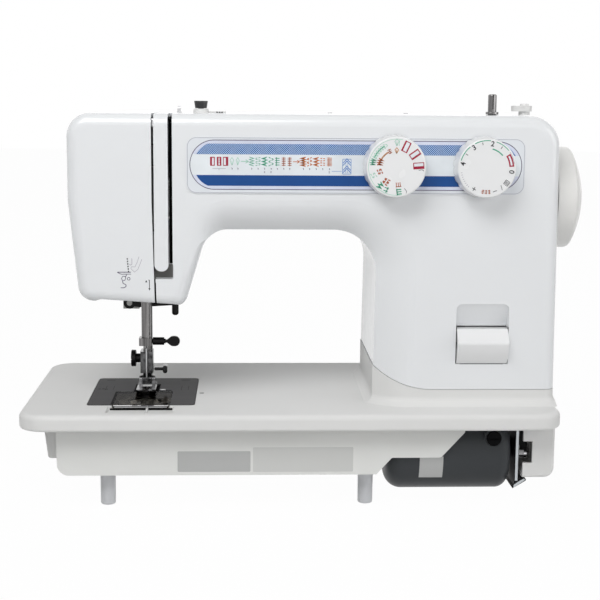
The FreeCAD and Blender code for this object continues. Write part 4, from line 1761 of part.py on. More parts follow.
def motor_strap():
    """Steel strap that hangs the motor's end from the bed, with its bent foot."""
    left, right = STRAP_X
    sheet = plate([(STRAP_Y[0], -BED_SKIN, 0), (STRAP_Y[0], STRAP_LOW, STRAP_LOW_R[0]),
                   (STRAP_Y[1], STRAP_LOW, STRAP_LOW_R[1]), (STRAP_Y[1], -BED_SKIN, 0)],
                  in_yz(left), V(right - left, 0, 0))
    (near_x, near_z), (tip_low, tip_high) = STRAP_FOOT
    tip_x = right + STRAP_TAB_RUN
    tab = plate([(left, STRAP_LOW, 0), (left + near_x, STRAP_LOW + near_z, 0),
                 (tip_x, STRAP_LOW + tip_low, SOFT_R), (tip_x - SOFT_R, STRAP_LOW + tip_high, SOFT_R),
                 (right, STRAP_LOW + STRAP_LOW_R[0], 0)], in_xz(STRAP_Y[0]),
                V(0, STRAP_Y[1] - STRAP_Y[0] - STRAP_FOOT_BACK, 0))
    flange = box(left - 2 * ZAMAK, left, STRAP_Y[0], STRAP_Y[1], -BED_SKIN - STRAP_FLANGE, -BED_SKIN)
    return join(sheet, tab, flange).cut(motor_line(MOTOR_SHAFT_R + THROUGH, left - THROUGH,
                                                   right + THROUGH))


def strap_nut():
    """Clamp stud and its hexagon nut on the strap."""
    y = STRAP_Y[0] + ZAMAK
    corners = []
    for side in range(HEXAGON):
        angle = 2 * math.pi * side / HEXAGON
        corners.append((y + BRACKET_NUT_R * math.cos(angle),
                        BRACKET_NUT_Z + BRACKET_NUT_R * math.sin(angle), 0))
    nut = plate(corners, in_yz(STRAP_X[1]), V(BRACKET_NUT_THICK, 0, 0))
    stud = rod(SCREW_R, V(STRAP_X[1], y, BRACKET_NUT_Z),
               V(STRAP_X[1] + BRACKET_NUT_THICK + BRACKET_STUD_END, y, BRACKET_NUT_Z))
    return join(nut, stud)


def lower_cover():
    """Cover of the belt under the bed's right end, with its front notch and inlet hole."""
    left, right = LOWER_COVER_X
    front, back = LOWER_COVER_Y
    corners = [(left, -BED_LIP, 0), (left, LOWER_COVER_Z, 0), (right, LOWER_COVER_Z, LOWER_COVER_R),
               (right, -BED_LIP, 0)]
    outer = plate(corners, in_xz(front), V(0, back - front, 0))
    floor_edge = edge_near(outer, V((left + right) / 2, front, LOWER_COVER_Z))
    outer = outer.makeFillet(LOWER_COVER_FILLET, [floor_edge])
    inner_corners = [(left - THROUGH, THROUGH, 0), (left - THROUGH, LOWER_COVER_Z + WALL, 0),
                     (right - WALL, LOWER_COVER_Z + WALL, LOWER_COVER_R - WALL),
                     (right - WALL, THROUGH, 0)]
    inner = plate(inner_corners, in_xz(front + WALL), V(0, back - front - 2 * WALL, 0))
    notch = box(left - THROUGH, LOWER_COVER_NOTCH_X, front - THROUGH, front + 2 * WALL,
                LOWER_COVER_NOTCH_Z[0], LOWER_COVER_NOTCH_Z[1])
    half_y, half_z = INLET_HALF
    hole = box(right - 2 * WALL, right + THROUGH, INLET_Y - half_y, INLET_Y + half_y,
               INLET_Z - half_z, INLET_Z + half_z)
    return outer.cut(inner).cut(notch).cut(hole)


def inlet_socket():
    """Three-pin inlet for a supply lead, set in the lower cover's side."""
    right = LOWER_COVER_X[1]
    half_y, half_z = INLET_HALF
    body = box(right - INLET_DEPTH, right + INLET_PROUD, INLET_Y - half_y, INLET_Y + half_y,
               INLET_Z - half_z, INLET_Z + half_z)
    half_y, half_z = INLET_MOUTH_HALF
    mouth = plate(rectangle(INLET_Y - half_y, INLET_Y + half_y, INLET_Z - half_z,
                            INLET_Z + half_z, INLET_MOUTH_R),
                  in_yz(right - INLET_MOUTH_DEPTH), V(INLET_DEPTH, 0, 0))
    root, tip = [right - depth for depth in INLET_PIN_X]
    pins = [rod(INLET_PIN_R, V(root, INLET_Y + step, INLET_Z), V(tip, INLET_Y + step, INLET_Z))
            for step in (-INLET_PIN_STEP, 0, INLET_PIN_STEP)]
    return join(body.cut(mouth), *pins)


# ---- controls on the front -----------------------------------------------------------------------------
def front_panel():
    """Thin printed panel on the arm's front, drilled for the dials."""
    solid = plate(rectangle(PANEL_X[0], PANEL_X[1], PANEL_Z[0], PANEL_Z[1], PANEL_R),
                  in_xz(FRONT_Y - PANEL_THICK), V(0, PANEL_THICK, 0))
    for x, z in ((SELECTOR_X, SELECTOR_Z), (LENGTH_X, LENGTH_Z)):
        solid = solid.cut(rod(DIAL_SHAFT_R + SHAFT_GAP, V(x, 0, z), V(x, SPLIT_Y, z)))
    return solid


def dial(x, z, radius):
    """Control dial: lobed skirt, flat face and spindle."""
    back = FRONT_Y - PANEL_THICK - DIAL_GAP
    solid = turned_y([(DIAL_FACE_Y, 0, 0), (DIAL_FACE_Y, radius - DIAL_FACE_STEP, SOFT_R),
                      (back, radius, SHARP_R), (back, 0, 0)], x, z)
    lobes = []
    for lobe in range(DIAL_LOBES):
        angle = 2 * math.pi * lobe / DIAL_LOBES
        reach = radius + DIAL_LOBE_BITE - DIAL_LOBE_DEPTH
        spot = V(x + reach * math.cos(angle), DIAL_FACE_Y + DIAL_LOBE_START,
                 z + reach * math.sin(angle))
        lobes.append(Part.makeCylinder(DIAL_LOBE_BITE, back, spot, Y_DIR))
    solid = solid.cut(Part.makeCompound(lobes))
    spindle = rod(DIAL_SHAFT_R, V(x, back - THROUGH, z), V(x, DIAL_SHAFT_END_Y, z))
    return join(solid, spindle)


# ---- pieces on top of the arm ------------------------------------------------------------------------------
def winder_carriage():
    """Sliding plate under the arm's top that carries the winder's spindle."""
    top = ARM_TOP - WALL - SEAT_GAP
    solid = plate(rectangle(WINDER_X - CARRIAGE_RUN[0], WINDER_X + CARRIAGE_RUN[1],
                            WINDER_Y - CARRIAGE_HALF, WINDER_Y + CARRIAGE_HALF, CARRIAGE_R),
                  in_xy(top - CARRIAGE_THICK), V(0, 0, CARRIAGE_THICK))
    bush = rod(WINDER_R + CARRIAGE_BUSH, V(WINDER_X, WINDER_Y, TYRE_Z[1] + CARRIAGE_THICK),
               V(WINDER_X, WINDER_Y, top - THROUGH))
    bore = rod(WINDER_R + SHAFT_GAP, V(WINDER_X, WINDER_Y, 0), V(WINDER_X, WINDER_Y, WINDER_TOP))
    return join(solid, bush).cut(bore)


def winder_spindle():
    """Bobbin winder spindle above the arm's top, with its flange and spring slit."""
    z = ARM_TOP + SEAT_GAP
    step = z + WINDER_FLANGE
    spindle = turned_z([(z, 0, 0), (z, WINDER_FLANGE_R, SHARP_R),
                        (step, WINDER_FLANGE_R, SHARP_R), (step, WINDER_R, 0),
                        (WINDER_TOP, WINDER_R, WINDER_TIP_R), (WINDER_TOP, 0, 0)],
                       WINDER_X, WINDER_Y)
    slit = box(WINDER_X - WINDER_SLIT / 2, WINDER_X + WINDER_SLIT / 2,
               WINDER_Y - WINDER_R - THROUGH, WINDER_Y - THROUGH, ARM_TOP + WINDER_SLIT_LOW,
               WINDER_TOP + THROUGH)
    return spindle.cut(slit)


def winder_tyre():
    """Foot of the winder's spindle inside the arm, with its friction tyre."""
    z = ARM_TOP + SEAT_GAP
    return turned_z([(TYRE_Z[0], 0, 0), (TYRE_Z[0], TYRE_R, SOFT_R), (TYRE_Z[1], TYRE_R, SOFT_R),
                     (TYRE_Z[1], WINDER_R, 0), (z, WINDER_R, 0), (z, 0, 0)], WINDER_X, WINDER_Y)


def winder_stopper():
    """Winder stopper: post, eccentric cap and its screw."""
    y = WINDER_Y
    post = rod(STOPPER_POST_R, V(STOPPER_X, y, ARM_TOP), V(STOPPER_X, y, STOPPER_CAP_Z[0]))
    cap = hull((0, 0), STOPPER_CAP_R, (0, STOPPER_LOBE), STOPPER_LOBE_R, 0)
    cap.rotate(V(0, 0, 0), Y_DIR, -90)
    cap = cap.extrude(V(0, 0, STOPPER_CAP_Z[1] - STOPPER_CAP_Z[0]))
    cap.translate(V(STOPPER_X, y, STOPPER_CAP_Z[0]))
    low, top = STOPPER_CAP_Z[1], STOPPER_CAP_Z[1] + STOPPER_SCREW_RISE
    head = turned_z([(low, 0, 0), (low, STOPPER_SCREW_R[0], 0),
                     (top, STOPPER_SCREW_R[1], FLANGE_EDGE_R), (top, 0, 0)], STOPPER_X, y)
    head = head.cut(box(STOPPER_X - STOPPER_POST_R, STOPPER_X + STOPPER_POST_R, y - SLIT / 2,
                        y + SLIT / 2, top - SCREW_SLOT_DEPTH, top + THROUGH))
    return join(post, cap, head)


def knob_base():
    """Round foot of the tension knob, bored for the knob's stem."""
    top, floor_z, bore = KNOB_Z[0] - SEAT_GAP, ARM_TOP + THROUGH / 2, KNOB_STEM_R + SHAFT_GAP
    return turned_z([(ARM_TOP, 0, 0), (ARM_TOP, KNOB_BASE_R, 0),
                     (top, KNOB_BASE_R - SHARP_R, FLANGE_EDGE_R), (top, bore, 0),
                     (floor_z, bore, 0), (floor_z, 0, 0)], KNOB_X, KNOB_Y)


def tension_knob():
    """Fluted turning knob that widens towards its top, on a stem in its foot."""
    low, high = KNOB_Z
    solid = turned_z([(ARM_TOP + THROUGH, 0, 0), (ARM_TOP + THROUGH, KNOB_STEM_R, 0),
                      (low, KNOB_STEM_R, 0), (low, KNOB_R[0], SHARP_R),
                      (high, KNOB_R[1], SHARP_R), (high, 0, 0)], KNOB_X, KNOB_Y)
    flutes = []
    for flute in range(KNOB_FLUTES):
        angle = 2 * math.pi * flute / KNOB_FLUTES
        reach = KNOB_R[1] + KNOB_FLUTE_OUT
        x, y = KNOB_X + reach * math.cos(angle), KNOB_Y + reach * math.sin(angle)
        flutes.append(rod(KNOB_FLUTE_R, V(x, y, low - THROUGH), V(x, y, high + THROUGH)))
    return solid.cut(Part.makeCompound(flutes))


def thread_guide():
    """Small bent wire guide on the arm's top, beside the thread slot."""
    left, right = GUIDE_X - GUIDE_HALF, GUIDE_X + GUIDE_HALF
    front, foot_back = KNOB_Y + GUIDE_FOOT_Y[0], KNOB_Y + GUIDE_FOOT_Y[1]
    back, thick = KNOB_Y + GUIDE_BACK, GUIDE_FOOT_THICK
    top, tip = ARM_TOP + GUIDE_TOP, ARM_TOP + GUIDE_TIP
    foot = box(left, right, front, foot_back, ARM_TOP, ARM_TOP + thick)
    hook = plate([(front, ARM_TOP, 0), (front, top, GUIDE_R), (back, top, GUIDE_R),
                  (back, tip, 0), (back - thick, tip, 0), (back - thick, top - thick, GUIDE_R / 2),
                  (front + thick, top - thick, GUIDE_R / 2), (front + thick, ARM_TOP, 0)],
                 in_yz(left + GUIDE_WIRE_INSET), V(right - left - 2 * GUIDE_WIRE_INSET, 0, 0))
    return join(foot, hook)


def thread_pin(x):
    """Pull-up pin for a thread spool, pushed down flush with the arm's top."""
    top = ARM_TOP + THROUGH / 2
    return turned_z([(PIN_LOW, 0, 0), (PIN_LOW, PIN_R, FLANGE_EDGE_R), (top, PIN_R, PIN_TOP_R),
                     (top, 0, 0)], x, PIN_Y)


def lamp():
    """Screw-cap lamp inside the head."""
    low, high = LAMP_Z
    neck = LAMP_R * LAMP_NECK
    return turned_z([(low, 0, 0), (low, LAMP_R, LAMP_R - SOFT_R),
                     (high - LAMP_SHOULDER, LAMP_R, LAMP_SHOULDER_R), (high - LAMP_CAP, neck, 0),
                     (high, neck, 0), (high, 0, 0)], LAMP_X, LAMP_Y)


def lamp_holder():
    """Socket that holds the lamp, on a bracket from the head block."""
    high, bore = LAMP_Z[1], LAMP_R * LAMP_NECK + SHAFT_GAP
    ring = turned_z([(high - LAMP_CAP, bore, 0), (high - LAMP_CAP, LAMP_R, 0),
                     (high + LAMP_SHOULDER, LAMP_R, SOFT_R), (high + LAMP_SHOULDER, 0, 0),
                     (high, 0, 0), (high, bore, 0)], LAMP_X, LAMP_Y)
    arm = box(LAMP_X, NEEDLE_X - NEEDLE_BAR_R - BUSH_WALL + THROUGH, LAMP_Y,
              LAMP_Y + LAMP_ARM_WIDTH, high + LAMP_ARM_Z[0], high + LAMP_ARM_Z[1])
    return ring.fuse(arm)


# ---- writing the pieces out ------------------------------------------------------------------------------------
def parts():
    """All pieces by node name."""
    shell = covers()
    fixed = arm_shell(shell)
    pieces = {
        "bed": bed(),
        "bottom_pan": bottom_pan(),
        "front_cover": front_cover(fixed),
        "rear_cover": rear_cover(fixed),
        "face_cover": face_cover(shell),
        "face_hinge_pin": face_pin_line(FACE_PIN_R),
        "channel_plate": channel_plate(),
        "cover_screws": cover_screws(),
        "arm_frame": arm_frame().fuse(lamp_holder()),
        "lamp": lamp(),
        "main_shaft": main_shaft(),
        "timing_pulley": pulley(TIMING_X, TIMING_WIDTH, TIMING_TOP_R, SHAFT_Y, SHAFT_Z,
                                SHAFT_R + SHAFT_GAP),
        "drive_pulley": pulley(DRIVE_X, DRIVE_WIDTH, DRIVE_BIG_R, SHAFT_Y, SHAFT_Z,
                               SHAFT_R + SHAFT_GAP),
        "hand_wheel": hand_wheel(),
        "drive_belt": belt(DRIVE_X, DRIVE_WIDTH, (SHAFT_Y, SHAFT_Z), DRIVE_BIG_R,
                           (MOTOR_Y, MOTOR_Z), DRIVE_SMALL_R),
        "timing_belt": belt(TIMING_X, TIMING_WIDTH, (SHAFT_Y, SHAFT_Z), TIMING_TOP_R,
                            (LOWER_SHAFT_Y, LOWER_SHAFT_Z), TIMING_LOW_R),
        "lower_shaft": lower_shaft(),
        "rotary_hook": rotary_hook(),
        "hook_bearing": hook_bearing(),
        "bobbin_holder": bobbin_holder(),
        "bobbin": bobbin(),
        "feed_dog": feed_dog(),
        "needle_plate": needle_plate(),
        "plate_screws": plate_screws(),
        "hook_cover": hook_cover(),
        "cover_button": cover_button(),
        "needle_bar": needle_bar(),
        "connecting_rod": connecting_rod(),
        "needle_clamp": needle_clamp(),
        "clamp_screw": clamp_screw(),
        "needle": needle(),
        "presser_bar": presser_bar(),
        "foot_holder": foot_holder(),
        "foot_screw": foot_screw(),
        "presser_foot": presser_foot(),
        "release_lever": release_lever(),
        "presser_lifter": presser_lifter(),
        "take_up_lever": take_up_lever(),
        "front_panel": front_panel(),
        "selector_dial": dial(SELECTOR_X, SELECTOR_Z, SELECTOR_R),
        "length_dial": dial(LENGTH_X, LENGTH_Z, LENGTH_R),
        "reverse_lever": reverse_lever(),
        "winder_carriage": winder_carriage(),
        "winder_spindle": winder_spindle(),
        "winder_tyre": winder_tyre(),
        "winder_stopper": winder_stopper(),
        "knob_base": knob_base(),
        "tension_knob": tension_knob(),
        "thread_guide": thread_guide(),
        "motor_body": motor_body(),
        "brush_cap": brush_cap(),
        "motor_rotor": motor_rotor(),
        "motor_strap": motor_strap(),
        "strap_nut": strap_nut(),
        "lower_cover": lower_cover(),
        "inlet_socket": inlet_socket(),
    }
    for side, x in zip(("left", "right"), PIN_X):
        pieces["thread_pin_" + side] = thread_pin(x)
    pieces["pegs"] = Part.makeCompound([peg(x, y) for x in PEG_X for y in PEG_Y])
    return pieces


def origin_shift():
    """Move from the modelling frame to the centre of the footprint on the table."""
    right = COLUMN_RIGHT + WHEEL_GAP + WHEEL_RIM + WHEEL_DOME
    return V(-(BED_LEFT + right) / 2, -BED_DEPTH / 2, STAND_HEIGHT)


def main():
    """Build every piece and write one STEP file for each."""
    os.makedirs("parts", exist_ok=True)
    shift = origin_shift()
    for name, shape in parts().items():
        shape.translate(shift)
        shape.exportStep("parts/" + name + ".step")
        print(name, len(shape.Solids), shape.isValid(), round(shape.Volume / 1000, 2))


if __name__ == "__main__":
    main()
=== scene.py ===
"""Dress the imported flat-bed sewing machine: finishes, printed marks, small trim, light and camera."""

import json
import logging
import math
from dataclasses import dataclass, field
from enum import Enum
from typing import Iterable, Protocol, Sequence

import bmesh
import bpy
from mathutils import Matrix, Vector


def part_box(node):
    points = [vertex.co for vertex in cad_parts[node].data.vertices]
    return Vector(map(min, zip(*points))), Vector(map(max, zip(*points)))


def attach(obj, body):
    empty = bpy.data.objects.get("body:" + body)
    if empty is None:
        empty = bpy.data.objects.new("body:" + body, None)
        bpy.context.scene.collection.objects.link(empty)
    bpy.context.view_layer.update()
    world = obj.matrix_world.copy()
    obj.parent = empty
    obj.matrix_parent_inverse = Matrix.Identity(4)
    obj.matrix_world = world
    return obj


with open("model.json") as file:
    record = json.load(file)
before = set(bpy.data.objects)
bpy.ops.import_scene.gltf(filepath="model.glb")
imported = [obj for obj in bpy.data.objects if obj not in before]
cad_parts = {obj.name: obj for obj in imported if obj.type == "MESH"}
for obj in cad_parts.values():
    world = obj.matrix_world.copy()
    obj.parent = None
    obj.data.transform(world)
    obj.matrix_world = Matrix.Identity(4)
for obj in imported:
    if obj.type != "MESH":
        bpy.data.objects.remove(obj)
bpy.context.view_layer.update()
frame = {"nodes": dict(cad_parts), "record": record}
LOG = logging.getLogger("sewing_machine")
MM = 0.001
ROOT = "machine"
PLATE_PROUD = 0.3               # how far the needle plate stands above the bed, in millimetres

Point2 = tuple[float, float]
Point3 = tuple[float, float, float]
Colour = tuple[float, float, float]
Sides = tuple[float, float, float, float]       # left, low, right and high side of a rectangle


# ---- finishes ------------------------------------------------------------------------------------
MOTTLE_DETAIL = 3.0
MOTTLE_ENDS = (0.3, 0.7)        # noise values at which the two near shades are pure
SMUDGE_DETAIL = 2.0
SMUDGE_FINENESS = 6             # how much finer handling marks are than the mottle
LEAST_ROUGHNESS = 0.02
RELIEF_DETAIL = 4.0
RELIEF_DEPTH = 0.5 * MM
COAT_ROUGHNESS = 0.06
INK_ROUGHNESS = 0.35
CHECKER_ROUGHNESS = 0.3


class Grain(Enum):
    """How a surface's fine relief runs."""

    EVEN = (1.0, 1.0, 1.0)
    BRUSHED_X = (0.02, 1.0, 1.0)
    BRUSHED_Z = (1.0, 1.0, 0.02)


@dataclass(frozen=True)
class Coating:
    """A node material that is made once and then shared by its name."""

    name: str

    def build(self) -> bpy.types.Material:
        """Make or fetch the node material.

        Returns:
            The material of this coating.
        """
        found = bpy.data.materials.get(self.name)
        if found:
            return found
        material = bpy.data.materials.new(self.name)
        material.use_nodes = True
        self.set_nodes(material.node_tree)
        return material

    def set_nodes(self, tree: bpy.types.NodeTree) -> None:
        """Set up the nodes; each kind of coating has its own way."""
        raise NotImplementedError


@dataclass(frozen=True)
class Finish(Coating):
    """A moulded, painted, plated or ground surface with its own fine wander and relief."""

    colour: Colour
    roughness: float
    metallic: float = 0.0
    coat: float = 0.0
    # mottle is random tone, but its strong setting on the bar and foot steel paints reflections.
    mottle: float = 0.02
    mottle_scale: float = 14.0
    smudge: float = 0.04
    relief: float = 0.02
    relief_scale: float = 900.0
    grain: Grain = Grain.EVEN
    clear: float = 0.0
    shine: float = 0.5
    index: float = 1.49

    def set_nodes(self, tree: bpy.types.NodeTree) -> None:
        """Set up the nodes of this surface.

        Args:
            tree: the material's node tree.
        """
        shader = tree.nodes["Principled BSDF"]
        place = tree.nodes.new("ShaderNodeTexCoord")
        stretch = tree.nodes.new("ShaderNodeMapping")
        stretch.inputs["Scale"].default_value = self.grain.value
        tree.links.new(place.outputs["Object"], stretch.inputs["Vector"])
        self._wander_colour(tree, shader, stretch)
        self._wander_roughness(tree, shader, stretch)
        self._raise_relief(tree, shader, stretch)
        shader.inputs["Metallic"].default_value = self.metallic
        shader.inputs["Coat Weight"].default_value = self.coat
        shader.inputs["Coat Roughness"].default_value = COAT_ROUGHNESS
        shader.inputs["Transmission Weight"].default_value = self.clear
        shader.inputs["Specular IOR Level"].default_value = self.shine
        shader.inputs["IOR"].default_value = self.index

    def _noise(self, tree: bpy.types.NodeTree, stretch: bpy.types.Node, scale: float,
               detail: float) -> bpy.types.NodeSocket:
        """Add a noise that runs with the grain.

        Args:
            tree: the material's node tree.
            stretch: mapping that carries the grain.
            scale: how fine the noise is.
            detail: how many octaves it has.

        Returns:
            The noise's value.
        """
        noise = tree.nodes.new("ShaderNodeTexNoise")
        noise.inputs["Scale"].default_value = scale
        noise.inputs["Detail"].default_value = detail
        tree.links.new(stretch.outputs["Vector"], noise.inputs["Vector"])
        return noise.outputs["Fac"]

    def _wander_colour(self, tree: bpy.types.NodeTree, shader: bpy.types.Node,
                       stretch: bpy.types.Node) -> None:
        """Let the base colour drift slowly between two shades, near ones but for the bar and foot
        steel, where the drift paints reflections.

        Args:
            tree: the material's node tree.
            shader: the surface shader.
            stretch: mapping that carries the grain.
        """
        noise = self._noise(tree, stretch, self.mottle_scale, MOTTLE_DETAIL)
        ramp = tree.nodes.new("ShaderNodeValToRGB")
        low = tuple(channel * (1 - self.mottle) for channel in self.colour)
        high = tuple(min(channel * (1 + self.mottle), 1.0) for channel in self.colour)
        for stop, position, shade in zip(ramp.color_ramp.elements, MOTTLE_ENDS, (low, high)):
            stop.position = position
            stop.color = (*shade, 1.0)
        tree.links.new(noise, ramp.inputs["Fac"])
        tree.links.new(ramp.outputs["Color"], shader.inputs["Base Color"])

    def _wander_roughness(self, tree: bpy.types.NodeTree, shader: bpy.types.Node,
                          stretch: bpy.types.Node) -> None:
        """Let handling marks change the gloss a little.

        Args:
            tree: the material's node tree.
            shader: the surface shader.
            stretch: mapping that carries the grain.
        """
        noise = self._noise(tree, stretch, self.mottle_scale * SMUDGE_FINENESS, SMUDGE_DETAIL)
        spread = tree.nodes.new("ShaderNodeMapRange")
        spread.inputs["To Min"].default_value = max(self.roughness - self.smudge, LEAST_ROUGHNESS)
        spread.inputs["To Max"].default_value = self.roughness + self.smudge
        tree.links.new(noise, spread.inputs["Value"])
        tree.links.new(spread.outputs["Result"], shader.inputs["Roughness"])

    def _raise_relief(self, tree: bpy.types.NodeTree, shader: bpy.types.Node,
                      stretch: bpy.types.Node) -> None:
        """Give the surface its moulded, cast or ground texture.

        Args:
            tree: the material's node tree.
            shader: the surface shader.
            stretch: mapping that carries the grain.
        """
        noise = self._noise(tree, stretch, self.relief_scale, RELIEF_DETAIL)
        bump = tree.nodes.new("ShaderNodeBump")
        bump.inputs["Strength"].default_value = self.relief
        bump.inputs["Distance"].default_value = RELIEF_DEPTH
        tree.links.new(noise, bump.inputs["Height"])
        tree.links.new(bump.outputs["Normal"], shader.inputs["Normal"])


@dataclass(frozen=True)
class CheckerInk(Coating):
    """Printed band of fine diamonds in two colours."""

    dark: Colour
    light: Colour
    pitch: float

    def set_nodes(self, tree: bpy.types.NodeTree) -> None:
        """Set up the nodes of this print.

        Args:
            tree: the material's node tree.
        """
        shader = tree.nodes["Principled BSDF"]
        place = tree.nodes.new("ShaderNodeTexCoord")
        turn = tree.nodes.new("ShaderNodeMapping")
        turn.inputs["Scale"].default_value = (1.0, 0.0, 1.0)
        checker = tree.nodes.new("ShaderNodeTexChecker")
        checker.inputs["Scale"].default_value = 1.0 / self.pitch
        checker.inputs["Color1"].default_value = (*self.dark, 1.0)
        checker.inputs["Color2"].default_value = (*self.light, 1.0)
        tree.links.new(place.outputs["Object"], turn.inputs["Vector"])
        tree.links.new(turn.outputs["Vector"], checker.inputs["Vector"])
        tree.links.new(checker.outputs["Color"], shader.inputs["Base Color"])
        shader.inputs["Roughness"].default_value = CHECKER_ROUGHNESS


WHITE = (0.80, 0.815, 0.83)
COVER = Finish("cover_gloss", WHITE, 0.24, coat=0.35, mottle=0.006, relief=0.012, relief_scale=160.0)
FACE = Finish("face_gloss", WHITE, 0.22, coat=0.4, mottle=0.006, relief=0.012, relief_scale=160.0)
BED = Finish("bed_enamel", (0.745, 0.745, 0.735), 0.5, shine=0.2, mottle=0.01, relief=0.02,
             relief_scale=220.0)
PAN = Finish("pan_matt", (0.76, 0.765, 0.745), 0.5, mottle=0.02, relief=0.05, relief_scale=500.0)
PEG = Finish("peg_satin", (0.60, 0.61, 0.63), 0.42, mottle=0.03, relief=0.04)
CAST = Finish("cast_metal", (0.42, 0.42, 0.41), 0.55, metallic=0.7, mottle=0.06, relief=0.2,
              relief_scale=300.0)
STEEL = Finish("ground_steel", (0.50, 0.50, 0.50), 0.28, metallic=1.0, mottle=0.04, relief=0.05,
               grain=Grain.BRUSHED_X)
CHROME = Finish("bright_chrome", (0.50, 0.50, 0.51), 0.14, metallic=1.0, mottle=0.03, smudge=0.03,
                relief=0.01)
# Painted reflection: strong colour wander stretched up the bars paints their streaks of reflection.
STREAKED_BAR_STEEL = Finish("bar_steel_painted_streaks", (0.19, 0.185, 0.185), 0.24, metallic=1.0, mottle=0.6,
                   mottle_scale=420.0, relief=0.04, grain=Grain.BRUSHED_Z)
PLATE_STEEL = Finish("plate_ground", (0.048, 0.047, 0.049), 0.55, shine=0.07, mottle=0.08,
                     relief=0.12, relief_scale=500.0, grain=Grain.BRUSHED_X)
DARK_STEEL = Finish("blued_steel", (0.008, 0.0075, 0.008), 0.34, shine=0.15, mottle=0.06,
                    relief=0.06)
CLEAR = Finish("clear_moulding", (0.36, 0.34, 0.31), 0.06, index=1.03, mottle=0.01, smudge=0.02,
               relief=0.0, clear=1.0)
BOBBIN_CLEAR = Finish("bobbin_moulding", (0.75, 0.78, 0.80), 0.12, mottle=0.02, relief=0.0,
                      clear=0.6)
HOOK_BLACK = Finish("hook_gloss", (0.018, 0.018, 0.02), 0.35, mottle=0.08, relief=0.06)
RUBBER = Finish("belt_moulding", (0.02, 0.02, 0.02), 0.7, mottle=0.1, relief=0.2, relief_scale=1500.0)
MOTOR = Finish("motor_enamel", (0.051, 0.055, 0.059), 0.38, shine=0.12, coat=0.02, mottle=0.06,
               relief=0.08, relief_scale=260.0)
BLACK = Finish("black_gloss", (0.012, 0.012, 0.013), 0.2, coat=0.3, mottle=0.05, relief=0.02)
CAP = Finish("cap_phenolic", (0.003, 0.003, 0.0035), 0.4, shine=0.05, mottle=0.1, relief=0.06)
PANEL = Finish("panel_gloss", (0.76, 0.79, 0.83), 0.2, coat=0.4, mottle=0.008, relief=0.006)
DIAL = Finish("dial_gloss", (0.83, 0.835, 0.84), 0.26, coat=0.25, mottle=0.006, relief=0.01)
WHEEL = Finish("wheel_satin", (0.78, 0.775, 0.755), 0.34, coat=0.15, mottle=0.01, relief=0.03,
               relief_scale=300.0)
LEVER = Finish("lever_gloss", (0.82, 0.825, 0.83), 0.22, coat=0.3, mottle=0.008, relief=0.01)
CREAM = Finish("trim_satin", (0.76, 0.76, 0.75), 0.4, mottle=0.02, relief=0.04)
LAMP_GLASS = Finish("lamp_frosted", (0.9, 0.88, 0.8), 0.4, mottle=0.02, relief=0.0, clear=0.5)
SILVER = Finish("silver_strip", (0.44, 0.445, 0.44), 0.4, metallic=0.4, mottle=0.03, relief=0.03,
                grain=Grain.BRUSHED_X)
STICKER = Finish("bare_plate", (0.60, 0.605, 0.59), 0.45, metallic=0.1, mottle=0.03, relief=0.03,
                 grain=Grain.BRUSHED_X)
ZINC = Finish("zinc_plate", (0.52, 0.55, 0.57), 0.34, metallic=0.7, mottle=0.08, relief=0.06)
# Painted reflection: strong blotchy colour wander paints the bright glints and dark patches of the
# presser foot.
GLINTED_FOOT_STEEL = Finish("foot_steel_painted_glints", (0.10, 0.10, 0.102), 0.2, metallic=1.0, mottle=0.7,
                    mottle_scale=320.0, relief=0.04)
# Painted shade: near black for strips and sheets that stand for the shade inside slits, gaps and
# channels.
PAINTED_SLOT_SHADE = Finish("slot_shade", (0.004, 0.004, 0.004), 0.7, shine=0.05, mottle=0.1, relief=0.05)
# Near black of the engraved lines and marks, and of the painted shade round the reverse lever.
ETCH_AND_GAP_SHADE = Finish("etched_line_and_gap_shade", (0.010, 0.010, 0.011), 0.6, shine=0.05, mottle=0.1, relief=0.02)
STRAP_BLACK = Finish("strap_black", (0.010, 0.010, 0.012), 0.45, shine=0.12, mottle=0.08,
                     relief=0.05)
# Painted shade: mid grey that stands for the shade in the pocket under the tongue.
PAINTED_POCKET_SHADE = Finish("painted_pocket_shade", (0.16, 0.158, 0.15), 0.6, shine=0.2, mottle=0.03, relief=0.02)
# Painted highlight: the nib's colour, lighter than the bed, paints the bright highlight in the middle
# of the recess.
HIGHLIGHT_NIB = Finish("nib_painted_highlight", (0.86, 0.86, 0.85), 0.2, coat=0.3, mottle=0.01, relief=0.01)


def ink(name: str, colour: Colour) -> Finish:
    """A printed ink: a thin, slightly glossy finish."""
    return Finish("ink_" + name, colour, INK_ROUGHNESS, shine=0.3, mottle=0.05, mottle_scale=60.0,
                  relief=0.01)


INK_BLUE = ink("blue", (0.005, 0.062, 0.25))
INK_SKY = ink("sky", (0.16, 0.30, 0.60))
INK_GREY = ink("grey", (0.42, 0.42, 0.47))
INK_MAUVE = ink("mauve", (0.10, 0.08, 0.14))
INK_RED = ink("red", (0.36, 0.012, 0.045))
INK_GREEN = ink("green", (0.06, 0.36, 0.22))
INK_BROWN = ink("brown", (0.42, 0.10, 0.035))
INK_BLACK = ink("black", (0.025, 0.025, 0.03))
INK_STRIP = ink("strip", (0.79, 0.83, 0.86))
DIAMONDS = CheckerInk("diamond_band", (0.002, 0.035, 0.18), (0.40, 0.58, 0.87), 0.00072)
INK_LAVENDER = ink("lavender", (0.68, 0.71, 0.84))
INK_PALE = ink("pale", (0.80, 0.82, 0.86))
INK_FAINT = ink("faint", (0.40, 0.38, 0.44))
INK_MINT = ink("mint", (0.36, 0.62, 0.50))
INK_TAN = ink("tan", (0.60, 0.34, 0.20))
INK_ORANGE = ink("orange", (0.55, 0.15, 0.035))

